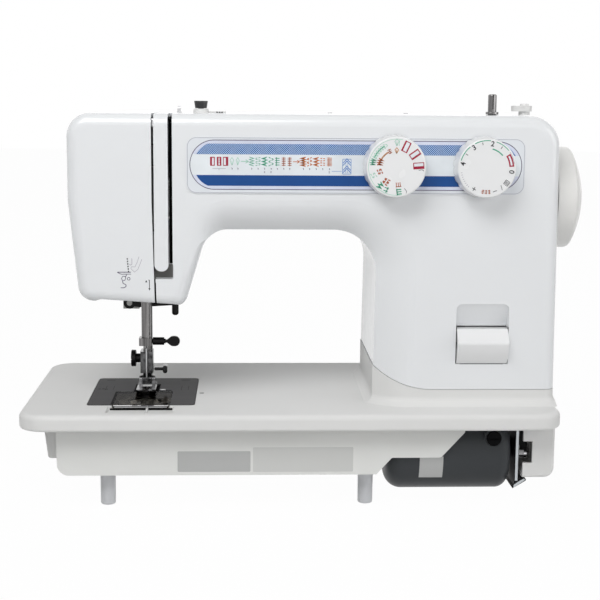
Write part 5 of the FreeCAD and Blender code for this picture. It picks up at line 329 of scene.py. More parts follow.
SLOT_FINISHES: dict[str, Finish] = {
    "cover_white": COVER, "face_white": FACE, "bed_white": BED, "pan_grey": PAN,
    "frame_cast": CAST, "shaft_steel": STEEL, "chrome_trim": CHROME, "plate_steel": PLATE_STEEL,
    "dark_steel": DARK_STEEL, "clear_cover": CLEAR, "bobbin_clear": BOBBIN_CLEAR,
    "hook_black": HOOK_BLACK, "belt_rubber": RUBBER, "motor_grey": MOTOR, "black_plastic": BLACK,
    "cap_brown": CAP, "panel_print": PANEL, "dial_white": DIAL, "lever_white": LEVER,
    "cream_plastic": CREAM, "lamp_glass": LAMP_GLASS, "peg_white": PEG,
}
NODE_FINISHES: dict[str, Finish] = {
    "needle_bar": STREAKED_BAR_STEEL, "presser_bar": STREAKED_BAR_STEEL, "hand_wheel": WHEEL,
    "foot_holder": GLINTED_FOOT_STEEL, "presser_foot": GLINTED_FOOT_STEEL, "needle_clamp": STREAKED_BAR_STEEL,
    "motor_strap": STRAP_BLACK, "plate_screws": PLATE_STEEL, "winder_spindle": STREAKED_BAR_STEEL,
}


def dress_nodes() -> None:
    """Give every CAD node the finish of its slot, or its own."""
    for part in frame["record"]["subparts"]:
        node = frame["nodes"][part["node"]]
        finish = NODE_FINISHES.get(part["node"], SLOT_FINISHES[part["material_slot"]])
        for slot in node.material_slots:
            slot.material = finish.build()
        LOG.info("%s dressed in %s", part["node"], finish.name)


# ---- printing and small solids -------------------------------------------------------------------
# Heights above their plane in millimetres, so that a later layer of print lies over an earlier one.
ROOT_DEPTH = -0.03
ETCH_DEPTH = -0.02
FIELD_LIFT = 0.02
BORDER_LIFT = 0.03
BAND_LIFT = 0.04
LINE_LIFT = 0.05
BOX_LIFT = 0.06
MARK_LIFT = 0.07
BAR_LIFT = 0.08
TICK_LIFT = 0.10

# Widths of printed lines in millimetres.
FINE = 0.3
STROKE = 0.4
BOLD = 0.5

MITRE_LIMIT = 0.3               # least share of a path's width kept at a sharp corner
SAME_POINT = 1e-9
CAPITAL_SHARE = 0.7             # a capital's height against the size of its type
FIGURE_WEIGHT = 0.09            # how far a figure's strokes are thickened, in millimetres

Paths = list[list[Point2]]


def arc_points(u: float, v: float, radius: float, start: float, stop: float,
               steps: int) -> list[Point2]:
    """Points along an arc, both ends included; its angles are in degrees, anticlockwise."""
    sweep = [math.radians(start + (stop - start) * i / steps) for i in range(steps + 1)]
    return [(u + radius * math.cos(a), v + radius * math.sin(a)) for a in sweep]


def rounded(left: float, low: float, right: float, high: float, radius: float,
            steps: int = 8) -> list[Point2]:
    """Outline of a rectangle with round corners.

    Args:
        left: left side.
        low: lower side.
        right: right side.
        high: upper side.
        radius: corner radius.
        steps: chords in each corner.

    Returns:
        The outline, anticlockwise.
    """
    corners = ((right - radius, low + radius, -90), (right - radius, high - radius, 0),
               (left + radius, high - radius, 90), (left + radius, low + radius, 180))
    points: list[Point2] = []
    for u, v, start in corners:
        points += arc_points(u, v, radius, start, start + 90, steps)
    return points


def turned_about(points: Iterable[Point2], u: float, v: float, angle: float) -> list[Point2]:
    """Points turned about a centre, by an angle in degrees, anticlockwise."""
    c, s = math.cos(math.radians(angle)), math.sin(math.radians(angle))
    return [(u + (a - u) * c - (b - v) * s, v + (a - u) * s + (b - v) * c) for a, b in points]


def placed(paths: Paths, u: float, v: float, turn: float = 0.0) -> Paths:
    """Strokes turned about their own middle and set down at a place."""
    return [[(u + a, v + b) for a, b in turned_about(path, 0.0, 0.0, turn)] for path in paths]


def offset_path(path: Sequence[Point2], shift: float, closed: bool) -> list[Point2]:
    """A path moved sideways by a fixed distance, with mitred corners.

    Args:
        path: the points.
        shift: distance to the left of the path's direction.
        closed: whether the last point joins the first.

    Returns:
        The moved points.
    """
    count = len(path)
    moved: list[Point2] = []
    for index, point in enumerate(path):
        before = path[(index - 1) % count] if closed or index else None
        after = path[(index + 1) % count] if closed or index < count - 1 else None
        normals: list[Vector] = []
        for a, b in ((before, point), (point, after)):
            if a is None or b is None:
                continue
            run = Vector((b[0] - a[0], b[1] - a[1]))
            if run.length > SAME_POINT:
                run.normalize()
                normals.append(Vector((-run.y, run.x)))
        mean = sum(normals, Vector((0, 0)))
        mean.normalize()
        reach = shift / max(mean.dot(normals[0]), MITRE_LIMIT)
        moved.append((point[0] + mean.x * reach, point[1] + mean.y * reach))
    return moved


@dataclass(frozen=True)
class Plane:
    """A flat place on a piece, with its own grid in millimetres."""

    corner: Vector
    along: Vector = field(default_factory=lambda: Vector((1, 0, 0)))
    up: Vector = field(default_factory=lambda: Vector((0, 0, 1)))

    def at(self, u: float, v: float, lift: float = 0.0) -> Vector:
        """Row position of a grid point, lifted off the plane by some millimetres."""
        out = self.along.cross(self.up)
        return self.corner + (self.along * u + self.up * v + out * lift) * MM

    def trace(self, outline: Sequence[Point2], lift: float) -> list[Vector]:
        """Row positions of an outline, all lifted off the plane alike."""
        return [self.at(u, v, lift) for u, v in outline]


def level_plane(x: float, y: float, z: float) -> Plane:
    """A grid that faces up, across along X and up along Y, from a corner given in metres."""
    return Plane(Vector((x, y, z)), Vector((1, 0, 0)), Vector((0, 1, 0)))


def front_plane(node: str) -> Plane:
    """Grid on a node's front face, facing the user, from its lower left corner."""
    return Plane(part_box(node)[0])


def top_plane(node: str) -> Plane:
    """Grid on the top of a node's box, from its front left corner."""
    low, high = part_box(node)
    return level_plane(low.x, low.y, high.z)


def middle(node: str) -> Vector:
    """Centre of a node's box."""
    low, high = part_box(node)
    return (low + high) / 2


def bed_top() -> float:
    """Height of the bed's working surface in metres, taken from the needle plate on it."""
    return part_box("needle_plate")[1].z - PLATE_PROUD * MM


class Builder:
    """Gathers thin prints and small solids of one finish into one piece on one body."""

    def __init__(self, name: str, body: str, finish: Coating, slot: str) -> None:
        """Start an empty piece.

        Args:
            name: name of the piece.
            body: CAD body that it rides on.
            finish: its finish.
            slot: the record's material slot that it goes with; stored but not used.
        """
        self.name = name
        self.body = body
        self.finish = finish
        self.slot = slot
        self.mesh = bmesh.new()

    def loft(self, rings: Sequence[Sequence[Vector]], closed: bool = False) -> "Builder":
        """Add a solid through equal rings of points.

        Args:
            rings: the rings, in metres.
            closed: whether the last ring joins the first; if it doesn't, both ends are capped.

        Returns:
            This builder.
        """
        rows = [[self.mesh.verts.new(point) for point in ring] for ring in rings]
        for row, ahead in zip(rows, rows[1:] + rows[:1] if closed else rows[1:]):
            for i, vert in enumerate(row):
                j = (i + 1) % len(row)
                self.mesh.faces.new((vert, row[j], ahead[j], ahead[i]))
        if not closed:
            self.mesh.faces.new(list(reversed(rows[0])))
            self.mesh.faces.new(rows[-1])
        return self

    def fill(self, plane: Plane, outline: Sequence[Point2], lift: float = LINE_LIFT,
             root: float = ROOT_DEPTH) -> "Builder":
        """Add a filled shape.

        Args:
            plane: where it lies.
            outline: its edge in millimetres.
            lift: height of its face above the plane.
            root: height of its back.

        Returns:
            This builder.
        """
        return self.loft([plane.trace(outline, root), plane.trace(outline, lift)])

    def line(self, plane: Plane, path: Sequence[Point2], width: float, closed: bool = False,
             lift: float = LINE_LIFT, root: float = ROOT_DEPTH) -> "Builder":
        """Add a line of even width.

        Args:
            plane: where it lies.
            path: its middle line in millimetres.
            width: its width.
            closed: whether it joins its own start.
            lift: height of its face above the plane.
            root: height of its back.

        Returns:
            This builder.
        """
        left = offset_path(path, width / 2, closed)
        right = offset_path(path, -width / 2, closed)
        sides = (plane.trace(left, lift), plane.trace(right, lift),
                 plane.trace(right, root), plane.trace(left, root))
        return self.loft(list(zip(*sides)), closed)

    def block(self, plane: Plane, outline: Sequence[Point2], low: float, high: float,
              bevel: float) -> "Builder":
        """Add a small prism with softened edges.

        Args:
            plane: where its outline lies.
            outline: its edge in millimetres.
            low: height of its back above the plane.
            high: height of its face above the plane.
            bevel: width of the softened edges.

        Returns:
            This builder.
        """
        edge = offset_path(outline, bevel, True)
        levels = ((edge, low), (outline, low + bevel), (outline, high - bevel), (edge, high))
        return self.loft([plane.trace(side, lift) for side, lift in levels])

    def figure(self, plane: Plane, text: str, spot: Point2, height: float,
               turn: float) -> "Builder":
        """Add a figure such as a dial number.

        Args:
            plane: where it lies.
            text: the figure.
            spot: its middle.
            height: height of a capital in millimetres.
            turn: turn in degrees, anticlockwise.

        Returns:
            This builder.
        """
        curve = bpy.data.curves.new(self.name + "_figure", "FONT")
        curve.body = text
        curve.size = height / CAPITAL_SHARE
        curve.extrude = MARK_LIFT
        curve.offset = FIGURE_WEIGHT
        curve.align_x = "CENTER"
        curve.align_y = "CENTER"
        curve.resolution_u = 4
        holder = bpy.data.objects.new(curve.name, curve)
        mesh = bpy.data.meshes.new_from_object(holder)
        out = plane.along.cross(plane.up)
        place = Matrix((plane.along * MM, plane.up * MM, out * MM)).transposed().to_4x4()
        place.translation = plane.at(*spot)
        mesh.transform(place @ Matrix.Rotation(math.radians(turn), 4, "Z"))
        self.mesh.from_mesh(mesh)
        bpy.data.objects.remove(holder)
        bpy.data.curves.remove(curve)
        bpy.data.meshes.remove(mesh)
        return self

    def done(self) -> bpy.types.Object:
        """Finish the piece and set it riding.

        Returns:
            The finished piece.
        """
        bmesh.ops.recalc_face_normals(self.mesh, faces=self.mesh.faces[:])
        data = bpy.data.meshes.new(self.name)
        self.mesh.to_mesh(data)
        self.mesh.free()
        data.materials.append(self.finish.build())
        piece = bpy.data.objects.new(self.name, data)
        bpy.context.scene.collection.objects.link(piece)
        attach(piece, self.body)
        LOG.info("%s rides on %s, %d faces", self.name, self.body, len(data.polygons))
        return piece


# ---- stitch marks --------------------------------------------------------------------------------
def zigzag(width: float, height: float, turns: int) -> Paths:
    """A zigzag stitch of some strokes, running up the mark about its middle."""
    return [[((-1) ** i * width / 2, height * (i / turns - 0.5)) for i in range(turns + 1)]]


def steps_up(height: float, count: int) -> list[float]:
    """Levels of equal steps of a mark, about its middle."""
    return [height * ((i + 0.5) / count - 0.5) for i in range(count)]


def dashes(width: float, height: float, count: int, lean: float = 0.25) -> Paths:
    """A broken zigzag of short leaning dashes.

    Args:
        width: full width of the stitch.
        height: full height of the mark.
        count: number of pairs of dashes.
        lean: rise of a dash, against the step from pair to pair.

    Returns:
        Its strokes about (0, 0).
    """
    paths: Paths = []
    for i, v in enumerate(steps_up(height, count)):
        rise = (-1) ** i * lean * height / count
        paths.append([(-width / 2, v - rise), (-width * 0.1, v)])
        paths.append([(width * 0.1, v), (width / 2, v + rise)])
    return paths


def comb(width: float, height: float, teeth: int, side: float = 0.0) -> Paths:
    """An overlock stitch: a spine, from -0.5 at the left to 0.5 at the right, with short teeth."""
    spine = [(side * width, -height / 2), (side * width, height / 2)]
    return [spine] + [[(-width / 2, v), (width / 2, v)] for v in steps_up(height, teeth)]


def scallop(width: float, height: float, count: int) -> Paths:
    """A shell stitch: a zigzag with a short heart stroke in every other turn.

    Args:
        width: full width of the stitch.
        height: full height of the mark.
        count: number of shells.

    Returns:
        Its strokes about (0, 0).
    """
    hearts = [[(-width * 0.3, v), (width * 0.25, v + 0.12 * height / count)]
              for v in steps_up(height, count)]
    return zigzag(width, height, 2 * count) + hearts


def diamond(width: float, height: float) -> Paths:
    """A lozenge with a short tail, for plain straight sewing.

    Args:
        width: full width of the lozenge.
        height: its full height.

    Returns:
        Its strokes about (0, 0).
    """
    low, mid = -height / 2, height * 0.12
    return [[(0.0, low), (-width / 2, mid), (0.0, height / 2), (width / 2, mid), (0.0, low)],
            [(0.0, low), (0.0, mid)]]


def arrow(length: float, tip: float, head: float, spread: float) -> Paths:
    """An arrow to the right.

    Args:
        length: length of its shaft.
        tip: how far its point stands past the shaft.
        head: length of its head.
        spread: half the width of its head.

    Returns:
        Its strokes from (0, 0), where the shaft starts.
    """
    point = length + tip
    return [[(0.0, 0.0), (length, 0.0)],
            [(point - head, spread), (point, 0.0), (point - head, -spread)]]


class Foot(Enum):
    """What is printed under a stitch mark."""

    NOTHING = 0
    FIGURE = 1
    FIGURE_AND_BARS = 2


@dataclass(frozen=True)
class Mark:
    """One stitch mark of the panel: its strokes, where its middle lies and what stands under it."""

    strokes: Paths
    u: float
    width: float = 0.42
    foot: Foot = Foot.FIGURE


@dataclass
class FacePrint:
    """Print on the front face of one node: the grid that it lies on and its pieces.

    All its sizes and places are in millimetres on that grid.
    """

    node: str
    body: str
    prefix: str
    slot: str

    def plane(self) -> Plane:
        """Grid on the face."""
        return front_plane(self.node)

    def piece(self, name: str, finish: Coating) -> Builder:
        """A piece of this print."""
        return Builder(f"{self.prefix}_{name}", self.body, finish, self.slot)


@dataclass
class PanelPrint(FacePrint):
    """The printed front panel: borders, two blue bands, and a strip of stitch marks."""

    node: str = "front_panel"
    body: str = ROOT
    slot: str = "panel_print"
    prefix: str = "panel"
    width: float = 229.0
    height: float = 37.7
    field_inset: float = 2.2
    field_low: float = 2.7
    field_high: float = 35.7
    field_corner: float = 16.4
    band_centre: float = 19.2
    band_end: float = 20.0
    band_radius: float = 15.2
    diamonds: Point2 = (26.2, 33.3)
    blue: Point2 = (5.1, 12.3)
    strip: Point2 = (12.4, 26.3)
    strip_end: float = 18.2
    strip_radius: float = 15.8
    box_levels: Point2 = (18.5, 24.5)
    bracket_level: float = 16.7
    mark_level: float = 21.5
    mark_height: float = 6.0

    def build(self) -> None:
        """Print the panel."""
        self._ground()
        self._bands()
        self._red_boxes()
        self._marks()
        self._feet()
        self._arrow_box()

    def _ground(self) -> None:
        """Print the outer border, the mauve line and the pale field inside it."""
        plane = self.plane()
        rim = rounded(0.5, 0.5, self.width - 0.5, self.height - 0.5, 6.0)
        self.piece("border", INK_GREY).line(plane, rim, 0.35, closed=True, lift=BORDER_LIFT).done()
        edge = rounded(self.field_inset, self.field_low, self.width - self.field_inset,
                       self.field_high, self.field_corner, steps=20)
        self.piece("field", INK_LAVENDER).fill(plane, edge, lift=FIELD_LIFT).done()
        self.piece("line", INK_MAUVE).line(plane, edge, BOLD, closed=True).done()

    def _band(self, levels: Point2, end: float, radius: float) -> list[Point2]:
        """Outline of a band whose ends follow the round ends of the field.

        Args:
            levels: its lower and upper edge.
            end: how far its ends' centres stand in from the panel's sides.
            radius: radius of its ends.

        Returns:
            The outline, anticlockwise.
        """
        start, stop = (math.degrees(math.asin((v - self.band_centre) / radius)) for v in levels)
        right = arc_points(self.width - end, self.band_centre, radius, start, stop, 12)
        return right + [(self.width - u, v) for u, v in reversed(right)]

    def _bands(self) -> None:
        """Print the pale strip, the diamond band above it and the blue band below it."""
        plane = self.plane()
        strip = self._band(self.strip, self.strip_end, self.strip_radius)
        self.piece("strip", INK_STRIP).fill(plane, strip, lift=BORDER_LIFT).done()
        for name, finish, levels in (("diamonds", DIAMONDS, self.diamonds),
                                     ("blue", INK_BLUE, self.blue)):
            band = self._band(levels, self.band_end, self.band_radius)
            self.piece(name, finish).fill(plane, band, lift=BAND_LIFT).done()
        edge = self.piece("edges", INK_PALE)
        for v in (12.6, 26.0):
            edge.line(plane, [(8.0, v), (self.width - 8.0, v)], FINE)
        edge.done()

    def _red_boxes(self) -> None:
        """Print three red buttonhole boxes and the bracket under them."""
        plane = self.plane()
        low, high = self.box_levels
        red, pale = self.piece("buttonholes", INK_RED), self.piece("buttonhole_bars", INK_PALE)
        for left, right, bar_left, bar_right in ((15.7, 18.9, 0.42, 0.8), (20.3, 23.3, 0.34, 0.66),
                                                 (24.4, 27.9, 0.14, 0.56)):
            wide = right - left
            red.fill(plane, rounded(left, low, right, high, 0.25), lift=BOX_LIFT)
            bar = rounded(left + wide * bar_left, low + 0.6, left + wide * bar_right, high - 0.6,
                          0.2)
            pale.fill(plane, bar, lift=BAR_LIFT)
        for v in (20.2, 21.5, 22.8):
            red.line(plane, [(21.2, v), (21.8, v + 0.5), (22.4, v)], FINE, lift=TICK_LIFT)
        red.done()
        pale.done()
        bracket = self.piece("bracket", INK_FAINT)
        v = self.bracket_level
        bracket.line(plane, [(17.3, v), (26.2, v)], FINE)
        bracket.line(plane, [(21.7, v), (21.7, v - 1.1)], FINE).done()

    def _groups(self) -> dict[tuple[str, Finish], tuple[Mark, ...]]:
        """The stitch marks from left to right.

        Returns:
            The marks of each colour, under the name of their piece and its ink.
        """
        tall = self.mark_height
        return {
            ("light_marks", INK_MINT): (
                Mark(diamond(2.6, 5.2), 30.4, 0.35), Mark(diamond(2.2, 5.2), 34.3, 0.35),
                Mark(arrow(4.8, 0.2, 1.8, 1.2), 36.4, 0.5, Foot.NOTHING)),
            ("green_marks", INK_GREEN): (
                Mark(zigzag(3.0, tall, 7), 43.6), Mark(dashes(3.2, tall, 5), 47.9),
                Mark(scallop(3.2, tall, 3), 52.3, 0.55, Foot.FIGURE_AND_BARS),
                Mark(dashes(3.2, tall, 4, 0.5), 56.7, 0.5, Foot.FIGURE_AND_BARS),
                Mark(comb(3.0, tall, 4, -0.2), 60.9, 0.5)),
            ("brown_marks", INK_BROWN): (
                Mark(comb(2.6, tall, 5), 65.2, 0.5), Mark(comb(2.6, tall, 5), 69.2, 0.5)),
            ("orange_marks", INK_ORANGE): (
                Mark(arrow(4.0, 0.4, 1.6, 1.0), 71.4, 0.45, Foot.NOTHING),
                Mark(scallop(3.2, tall, 4), 78.4, 0.75), Mark(dashes(3.2, tall, 5, 0.45), 82.6, 0.6),
                Mark(scallop(3.4, tall, 3), 87.1, 0.65), Mark(dashes(3.2, tall, 4, 0.1), 91.5, 0.6),
                Mark(comb(3.4, tall, 7, -0.1), 96.0, 0.4, Foot.FIGURE_AND_BARS)),
        }

    def _marks(self) -> None:
        """Print the row of stitch marks."""
        plane = self.plane()
        for (name, finish), marks in self._groups().items():
            piece = self.piece(name, finish)
            for mark in marks:
                for stroke in placed(mark.strokes, mark.u, self.mark_level):
                    piece.line(plane, stroke, mark.width, lift=MARK_LIFT)
            piece.done()

    def _feet(self) -> None:
        """Print the small figures, and the bars, under the stitch marks."""
        plane = self.plane()
        feet = self.piece("figures", INK_MAUVE)
        for mark in (mark for marks in self._groups().values() for mark in marks):
            u = mark.u
            if mark.foot is not Foot.NOTHING:
                feet.line(plane, [(u - 0.3, 17.2), (u + 0.3, 16.8), (u, 16.0)], 0.34)
            if mark.foot is Foot.FIGURE_AND_BARS:
                for v in (14.9, 14.1):
                    feet.line(plane, [(u - 0.4, v), (u + 0.4, v)], 0.34)
        feet.done()

    def _arrow_box(self) -> None:
        """Print the thin lead line and the sky blue box of chevrons beside the first dial."""
        plane = self.plane()
        box = self.piece("chevron_box", INK_SKY)
        box.line(plane, [(97.6, 15.2), (104.4, 15.2)], FINE)
        for v in (14.3, 15.9, 19.2, 20.8):
            box.line(plane, [(105.3, v), (107.85, v + 2.9), (110.4, v)], 0.6, lift=BAR_LIFT)
        rim = rounded(105.0, 13.4, 110.7, 23.4, 0.3)
        box.line(plane, rim, STROKE, closed=True, lift=MARK_LIFT)
        for u in (107.2, 108.5):
            box.line(plane, [(u, 14.0), (u, 22.8)], FINE, lift=MARK_LIFT)
        box.done()


@dataclass
class DialPrint(FacePrint):
    """Printing shared by both dials: a plane on the face and radial placing."""

    slot: str = "dial_white"

    def plane(self) -> Plane:
        """Grid on the dial's face, from its axis."""
        centre = middle(self.node)
        return Plane(Vector((centre.x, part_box(self.node)[0].y, centre.z)))

    def _spot(self, angle: float, radius: float) -> Point2:
        """Grid point at an angle and a radius."""
        a = math.radians(angle)
        return radius * math.cos(a), radius * math.sin(a)

    def _radial(self, piece: Builder, paths: Paths, angle: float, radius: float,
                width: float, turn: float = 0.0) -> None:
        """Draw strokes whose upright runs outwards.

        Args:
            piece: the piece of print that they join.
            paths: the strokes, about (0, 0).
            angle: where their middle stands, in degrees.
            radius: how far out it stands.
            width: width of the strokes.
            turn: further turn about their middle, in degrees.
        """
        for path in placed(paths, *self._spot(angle, radius), angle - 90 + turn):
            piece.line(self.plane(), path, width, lift=MARK_LIFT)

    def _arc(self, piece: Builder, radius: float, start: float, stop: float, width: float) -> None:
        """Draw an arc about the dial's axis, its chords some 6 degrees long."""
        steps = max(int(abs(stop - start) / 6), 2)
        piece.line(self.plane(), arc_points(0, 0, radius, start, stop, steps), width)


@dataclass
class SelectorPrint(DialPrint):
    """Printing of the stitch selector dial."""

    node: str = "selector_dial"
    body: str = "pattern_dial"
    prefix: str = "selector_dial"
    box_inner: float = 11.2
    box_outer: float = 18.6
    box_half: float = 2.2
    bar_inset: float = 0.6

    def build(self) -> None:
        """Print the dial."""
        self._ring()
        self._boxes()
        self._outer_marks()
        self._inner_marks()

    def _ring(self) -> None:
        """Print the thin ring line and the two index ticks."""
        ring = self.piece("ring", INK_MINT)
        self._arc(ring, self.box_outer, 78, 282, FINE)
        ring.done()
        ticks = self.piece("ticks", INK_BLACK)
        for angle in (-6, -67):
            self._radial(ticks, [[(0.4, -1.8), (-0.3, 0.4)], [(-0.3, 0.4), (0.5, 1.8)]], angle,
                         16.8, 0.32)
        ticks.done()

    def _boxes(self) -> None:
        """Print three red boxes at the right, each with a pale bar and red chevrons."""
        frames, bars = self.piece("boxes", INK_RED), self.piece("box_bars", INK_PALE)
        for angle, low, high, spots in ((65, -0.6, 0.5, (13.6, 16.4)),
                                        (35, -0.45, 0.6, (13.2, 15.0, 16.8)),
                                        (4, -0.15, 0.75, (14.9,))):
            box = rounded(self.box_inner, -self.box_half, self.box_outer, self.box_half, 0.3)
            frames.fill(self.plane(), turned_about(box, 0, 0, angle), lift=BOX_LIFT)
            bar = rounded(self.box_inner + self.bar_inset, self.box_half * low,
                          self.box_outer - self.bar_inset, self.box_half * high, 0.15)
            bars.fill(self.plane(), turned_about(bar, 0, 0, angle), lift=BAR_LIFT)
            for spot in spots:
                chevron = [(-0.9, 0.0), (0.0, 0.7), (0.9, 0.0)]
                self._radial(frames, [chevron], angle, spot, STROKE)
        frames.done()
        bars.done()

    def _outer_marks(self) -> None:
        """Print the green marks round the outside."""
        green, mint = self.piece("outer", INK_GREEN), self.piece("outer_light", INK_MINT)
        self._radial(mint, diamond(2.8, 4.6), 90, 16.4, 0.4)
        self._radial(mint, [[(0.0, -2.2), (0.0, 2.2)]], 84, 16.4, 0.35)
        for angle in range(118, 164, 7):
            self._radial(mint, dashes(2.6, 3.4, 2, 0.4), angle, 15.9, 0.5)
        self._arc(green, 16.1, 120, 158, 0.7)
        self._radial(green, scallop(3.0, 4.2, 3), 168, 16.0, 0.6, 90)
        self._radial(mint, dashes(3.2, 3.8, 3, 0.4), 200, 16.0, 0.55)
        self._radial(green, scallop(3.2, 4.2, 2), 229, 16.2, 0.65)
        self._radial(green, comb(3.0, 4.0, 2, -0.2), 246, 16.2, 0.6)
        self._radial(green, comb(3.4, 4.4, 3, 0.4), 277, 16.4, 0.7)
        green.done()
        mint.done()

    def _inner_marks(self) -> None:
        """Print the brown marks round the inside."""
        tan, brown = self.piece("inner_light", INK_TAN), self.piece("inner", INK_BROWN)
        self._radial(tan, diamond(2.4, 3.8), 90, 11.0, 0.6)
        self._radial(brown, comb(2.4, 3.4, 3), 114, 11.4, 0.5)
        self._arc(tan, 11.4, 120, 158, 0.9)
        self._arc(brown, 11.0, 118, 152, 0.35)
        self._radial(brown, scallop(3.0, 4.4, 3), 163, 11.4, 0.75, 90)
        self._radial(brown, dashes(3.4, 3.6, 3, 0.3), 195, 11.4, 0.75)
        self._radial(brown, dashes(4.0, 4.4, 4, 0.35), 235, 11.6, 0.85)
        self._radial(brown, comb(3.0, 3.8, 3, 0.45), 277, 11.6, 0.5, 90)
        tan.done()
        brown.done()


@dataclass
class LengthPrint(DialPrint):
    """Printing of the stitch length dial."""

    node: str = "length_dial"
    body: str = "stitch_dial"
    prefix: str = "length_dial"
    rim: float = 18.4
    figure_radius: float = 16.4
    figure_height: float = 3.4
    hatch_angle: float = -36.0

    def build(self) -> None:
        """Print the dial."""
        self._figures()
        self._arcs()
        self._buttonhole()

    def _figures(self) -> None:
        """Print the figures 4, 3, 2 and 0, their half-way ticks and the signs below them."""
        figures = self.piece("figures", INK_BLACK)
        for text, angle in (("4", 170), ("3", 124), ("2", 79), ("0", -8)):
            spot = self._spot(angle, self.figure_radius)
            figures.figure(self.plane(), text, spot, self.figure_height, angle - 90)
        for angle in (147, 102, 56):
            self._radial(figures, [[(0.0, -0.9), (0.0, 0.9)]], angle, 16.6, 0.4)
        level, upright = [(-1.4, 0.0), (1.4, 0.0)], [(0.0, -1.4), (0.0, 1.4)]
        self._radial(figures, [level], -70, 16.2, 0.45)
        self._radial(figures, [level, upright], -122, 16.2, 0.45)
        self._radial(figures, [[(-0.6, -1.6), (0.6, 1.6)]], -52, 16.2, 0.35)
        shape = rounded(14.9, -1.6, 18.1, 1.6, 0.3)
        figures.line(self.plane(), turned_about(shape, 0, 0, self.hatch_angle), FINE, closed=True)
        for step in (-0.9, -0.3, 0.3, 0.9):
            self._radial(figures, [[(step, -1.5), (step, 1.5)]], self.hatch_angle, 16.5, 0.25)
        figures.done()

    def _arcs(self) -> None:
        """Print the coloured arcs round the figures, the dotted arc and three brown marks."""
        green, grey = self.piece("green_arc", INK_GREEN), self.piece("grey_arc", INK_FAINT)
        self._arc(green, 13.2, 40, 76, 0.8)
        for ink_piece, start, stop, width in ((green, 84, 118, 0.6), (green, 130, 164, 0.6),
                                              (green, 40, 72, 0.5), (grey, 10, 36, 0.3)):
            self._arc(ink_piece, self.rim, start, stop, width)
        for angle in range(190, 226, 5):
            self._radial(grey, [[(0.0, -0.5), (0.0, 0.5)]], angle, 17.4, 0.35)
        green.done()
        grey.done()
        brown = self.piece("brown_marks", INK_BROWN)
        for angle in (-84, -92, -100):
            self._radial(brown, comb(1.6, 2.8, 3, -0.2), angle, 15.8, 0.4)
        brown.done()

    def _buttonhole(self) -> None:
        """Print the red curved box between the green arc and the nought."""
        box, bar = self.piece("red_box", INK_RED), self.piece("red_bar", INK_PALE)
        outer = arc_points(0, 0, 18.0, 4, 33, 8) + arc_points(0, 0, 14.8, 33, 4, 8)
        inner = arc_points(0, 0, 17.0, 7, 30, 8) + arc_points(0, 0, 15.8, 30, 7, 8)
        box.fill(self.plane(), outer, lift=BOX_LIFT).done()
        bar.fill(self.plane(), inner, lift=BAR_LIFT).done()


# ---- small prints, plates and trim ---------------------------------------------------------------
@dataclass
class FaceMarks(FacePrint):
    """The small threading picture and the two arrows printed on the face cover."""

    node: str = "face_cover"
    body: str = "face_door"
    slot: str = "face_white"
    prefix: str = "face"
    dots: int = 6
    dot_pitch: float = 1.72

    def build(self) -> None:
        """Print the marks."""
        self._thread()
        self._guide()
        self._hand()
        self._arrows()

    def _thread(self) -> None:
        """Print the dotted line of the thread."""
        plane = self.plane()
        dots = self.piece("thread", INK_BLACK)
        for i in range(self.dots):
            u, v = 40.4 + 0.15 * i, 30.5 - self.dot_pitch * i
            dots.fill(plane, rounded(u - 0.42, v - 0.55, u + 0.42, v + 0.55, 0.3, 3))
        dots.done()

    def _guide(self) -> None:
        """Print the outline of the take-up guide that the thread passes."""
        plane = self.plane()
        guide = self.piece("guide", INK_MAUVE)
        guide.line(plane, [(33.6, 21.4), (42.8, 21.4)], BOLD)
        guide.line(plane, [(33.6, 21.2), (36.3, 20.0), (42.8, 20.1)], STROKE)
        guide.line(plane, [(40.0, 20.0), (38.9, 17.8)], STROKE)
        ring = [(38.7, 18.6), (37.2, 18.6), (36.3, 17.1), (37.0, 15.6), (38.5, 15.8), (39.2, 17.3)]
        guide.line(plane, ring, STROKE, closed=True)
        guide.line(plane, arc_points(41.2, 16.9, 0.95, 0, 330, 8), STROKE, closed=True)
        guide.line(plane, [(37.0, 15.4), (37.3, 13.9), (39.4, 12.6), (39.2, 11.4), (37.7, 10.7),
                           (35.7, 10.7)], BOLD)
        guide.done()

    def _hand(self) -> None:
        """Print the pale strokes of the hand and rod beside the thread."""
        plane = self.plane()
        strokes = self.piece("hand", INK_FAINT)
        strokes.line(plane, [(43.5, 30.9), (43.5, 26.9), (42.7, 26.3), (41.8, 26.7)], STROKE)
        strokes.line(plane, [(48.4, 32.1), (46.9, 27.8), (45.5, 25.0), (43.4, 25.2), (42.7, 24.2),
                             (43.4, 23.2), (45.1, 21.5), (47.4, 23.2), (49.2, 27.5),
                             (50.2, 30.3)], FINE)
        strokes.done()

    def _arrows(self) -> None:
        """Print the arrow up, and the arrow down with its line."""
        plane = self.plane()
        arrows = self.piece("arrows", INK_BLACK)
        arrows.fill(plane, [(52.3, 14.5), (53.8, 14.5), (53.05, 16.1)])
        arrows.line(plane, [(54.5, 16.1), (55.2, 15.9), (55.2, 10.0)], 0.45)
        arrows.fill(plane, [(54.5, 10.3), (55.2, 8.8), (55.9, 10.3)])
        arrows.done()


@dataclass
class PanPlates:
    """Two bare plates on the front of the bottom pan."""

    node: str = "bottom_pan"
    slot: str = "pan_grey"
    corner: float = 0.8
    small: Sides = (82.2, 2.4, 132.1, 16.9)
    large: Sides = (133.8, 2.2, 202.8, 19.6)

    def build(self) -> None:
        """Stick both plates on."""
        plane = front_plane(self.node)
        for name, sides, finish in (("plate_small", self.small, SILVER),
                                    ("plate_large", self.large, STICKER)):
            piece = Builder(name, ROOT, finish, self.slot)
            piece.fill(plane, rounded(*sides, self.corner)).done()


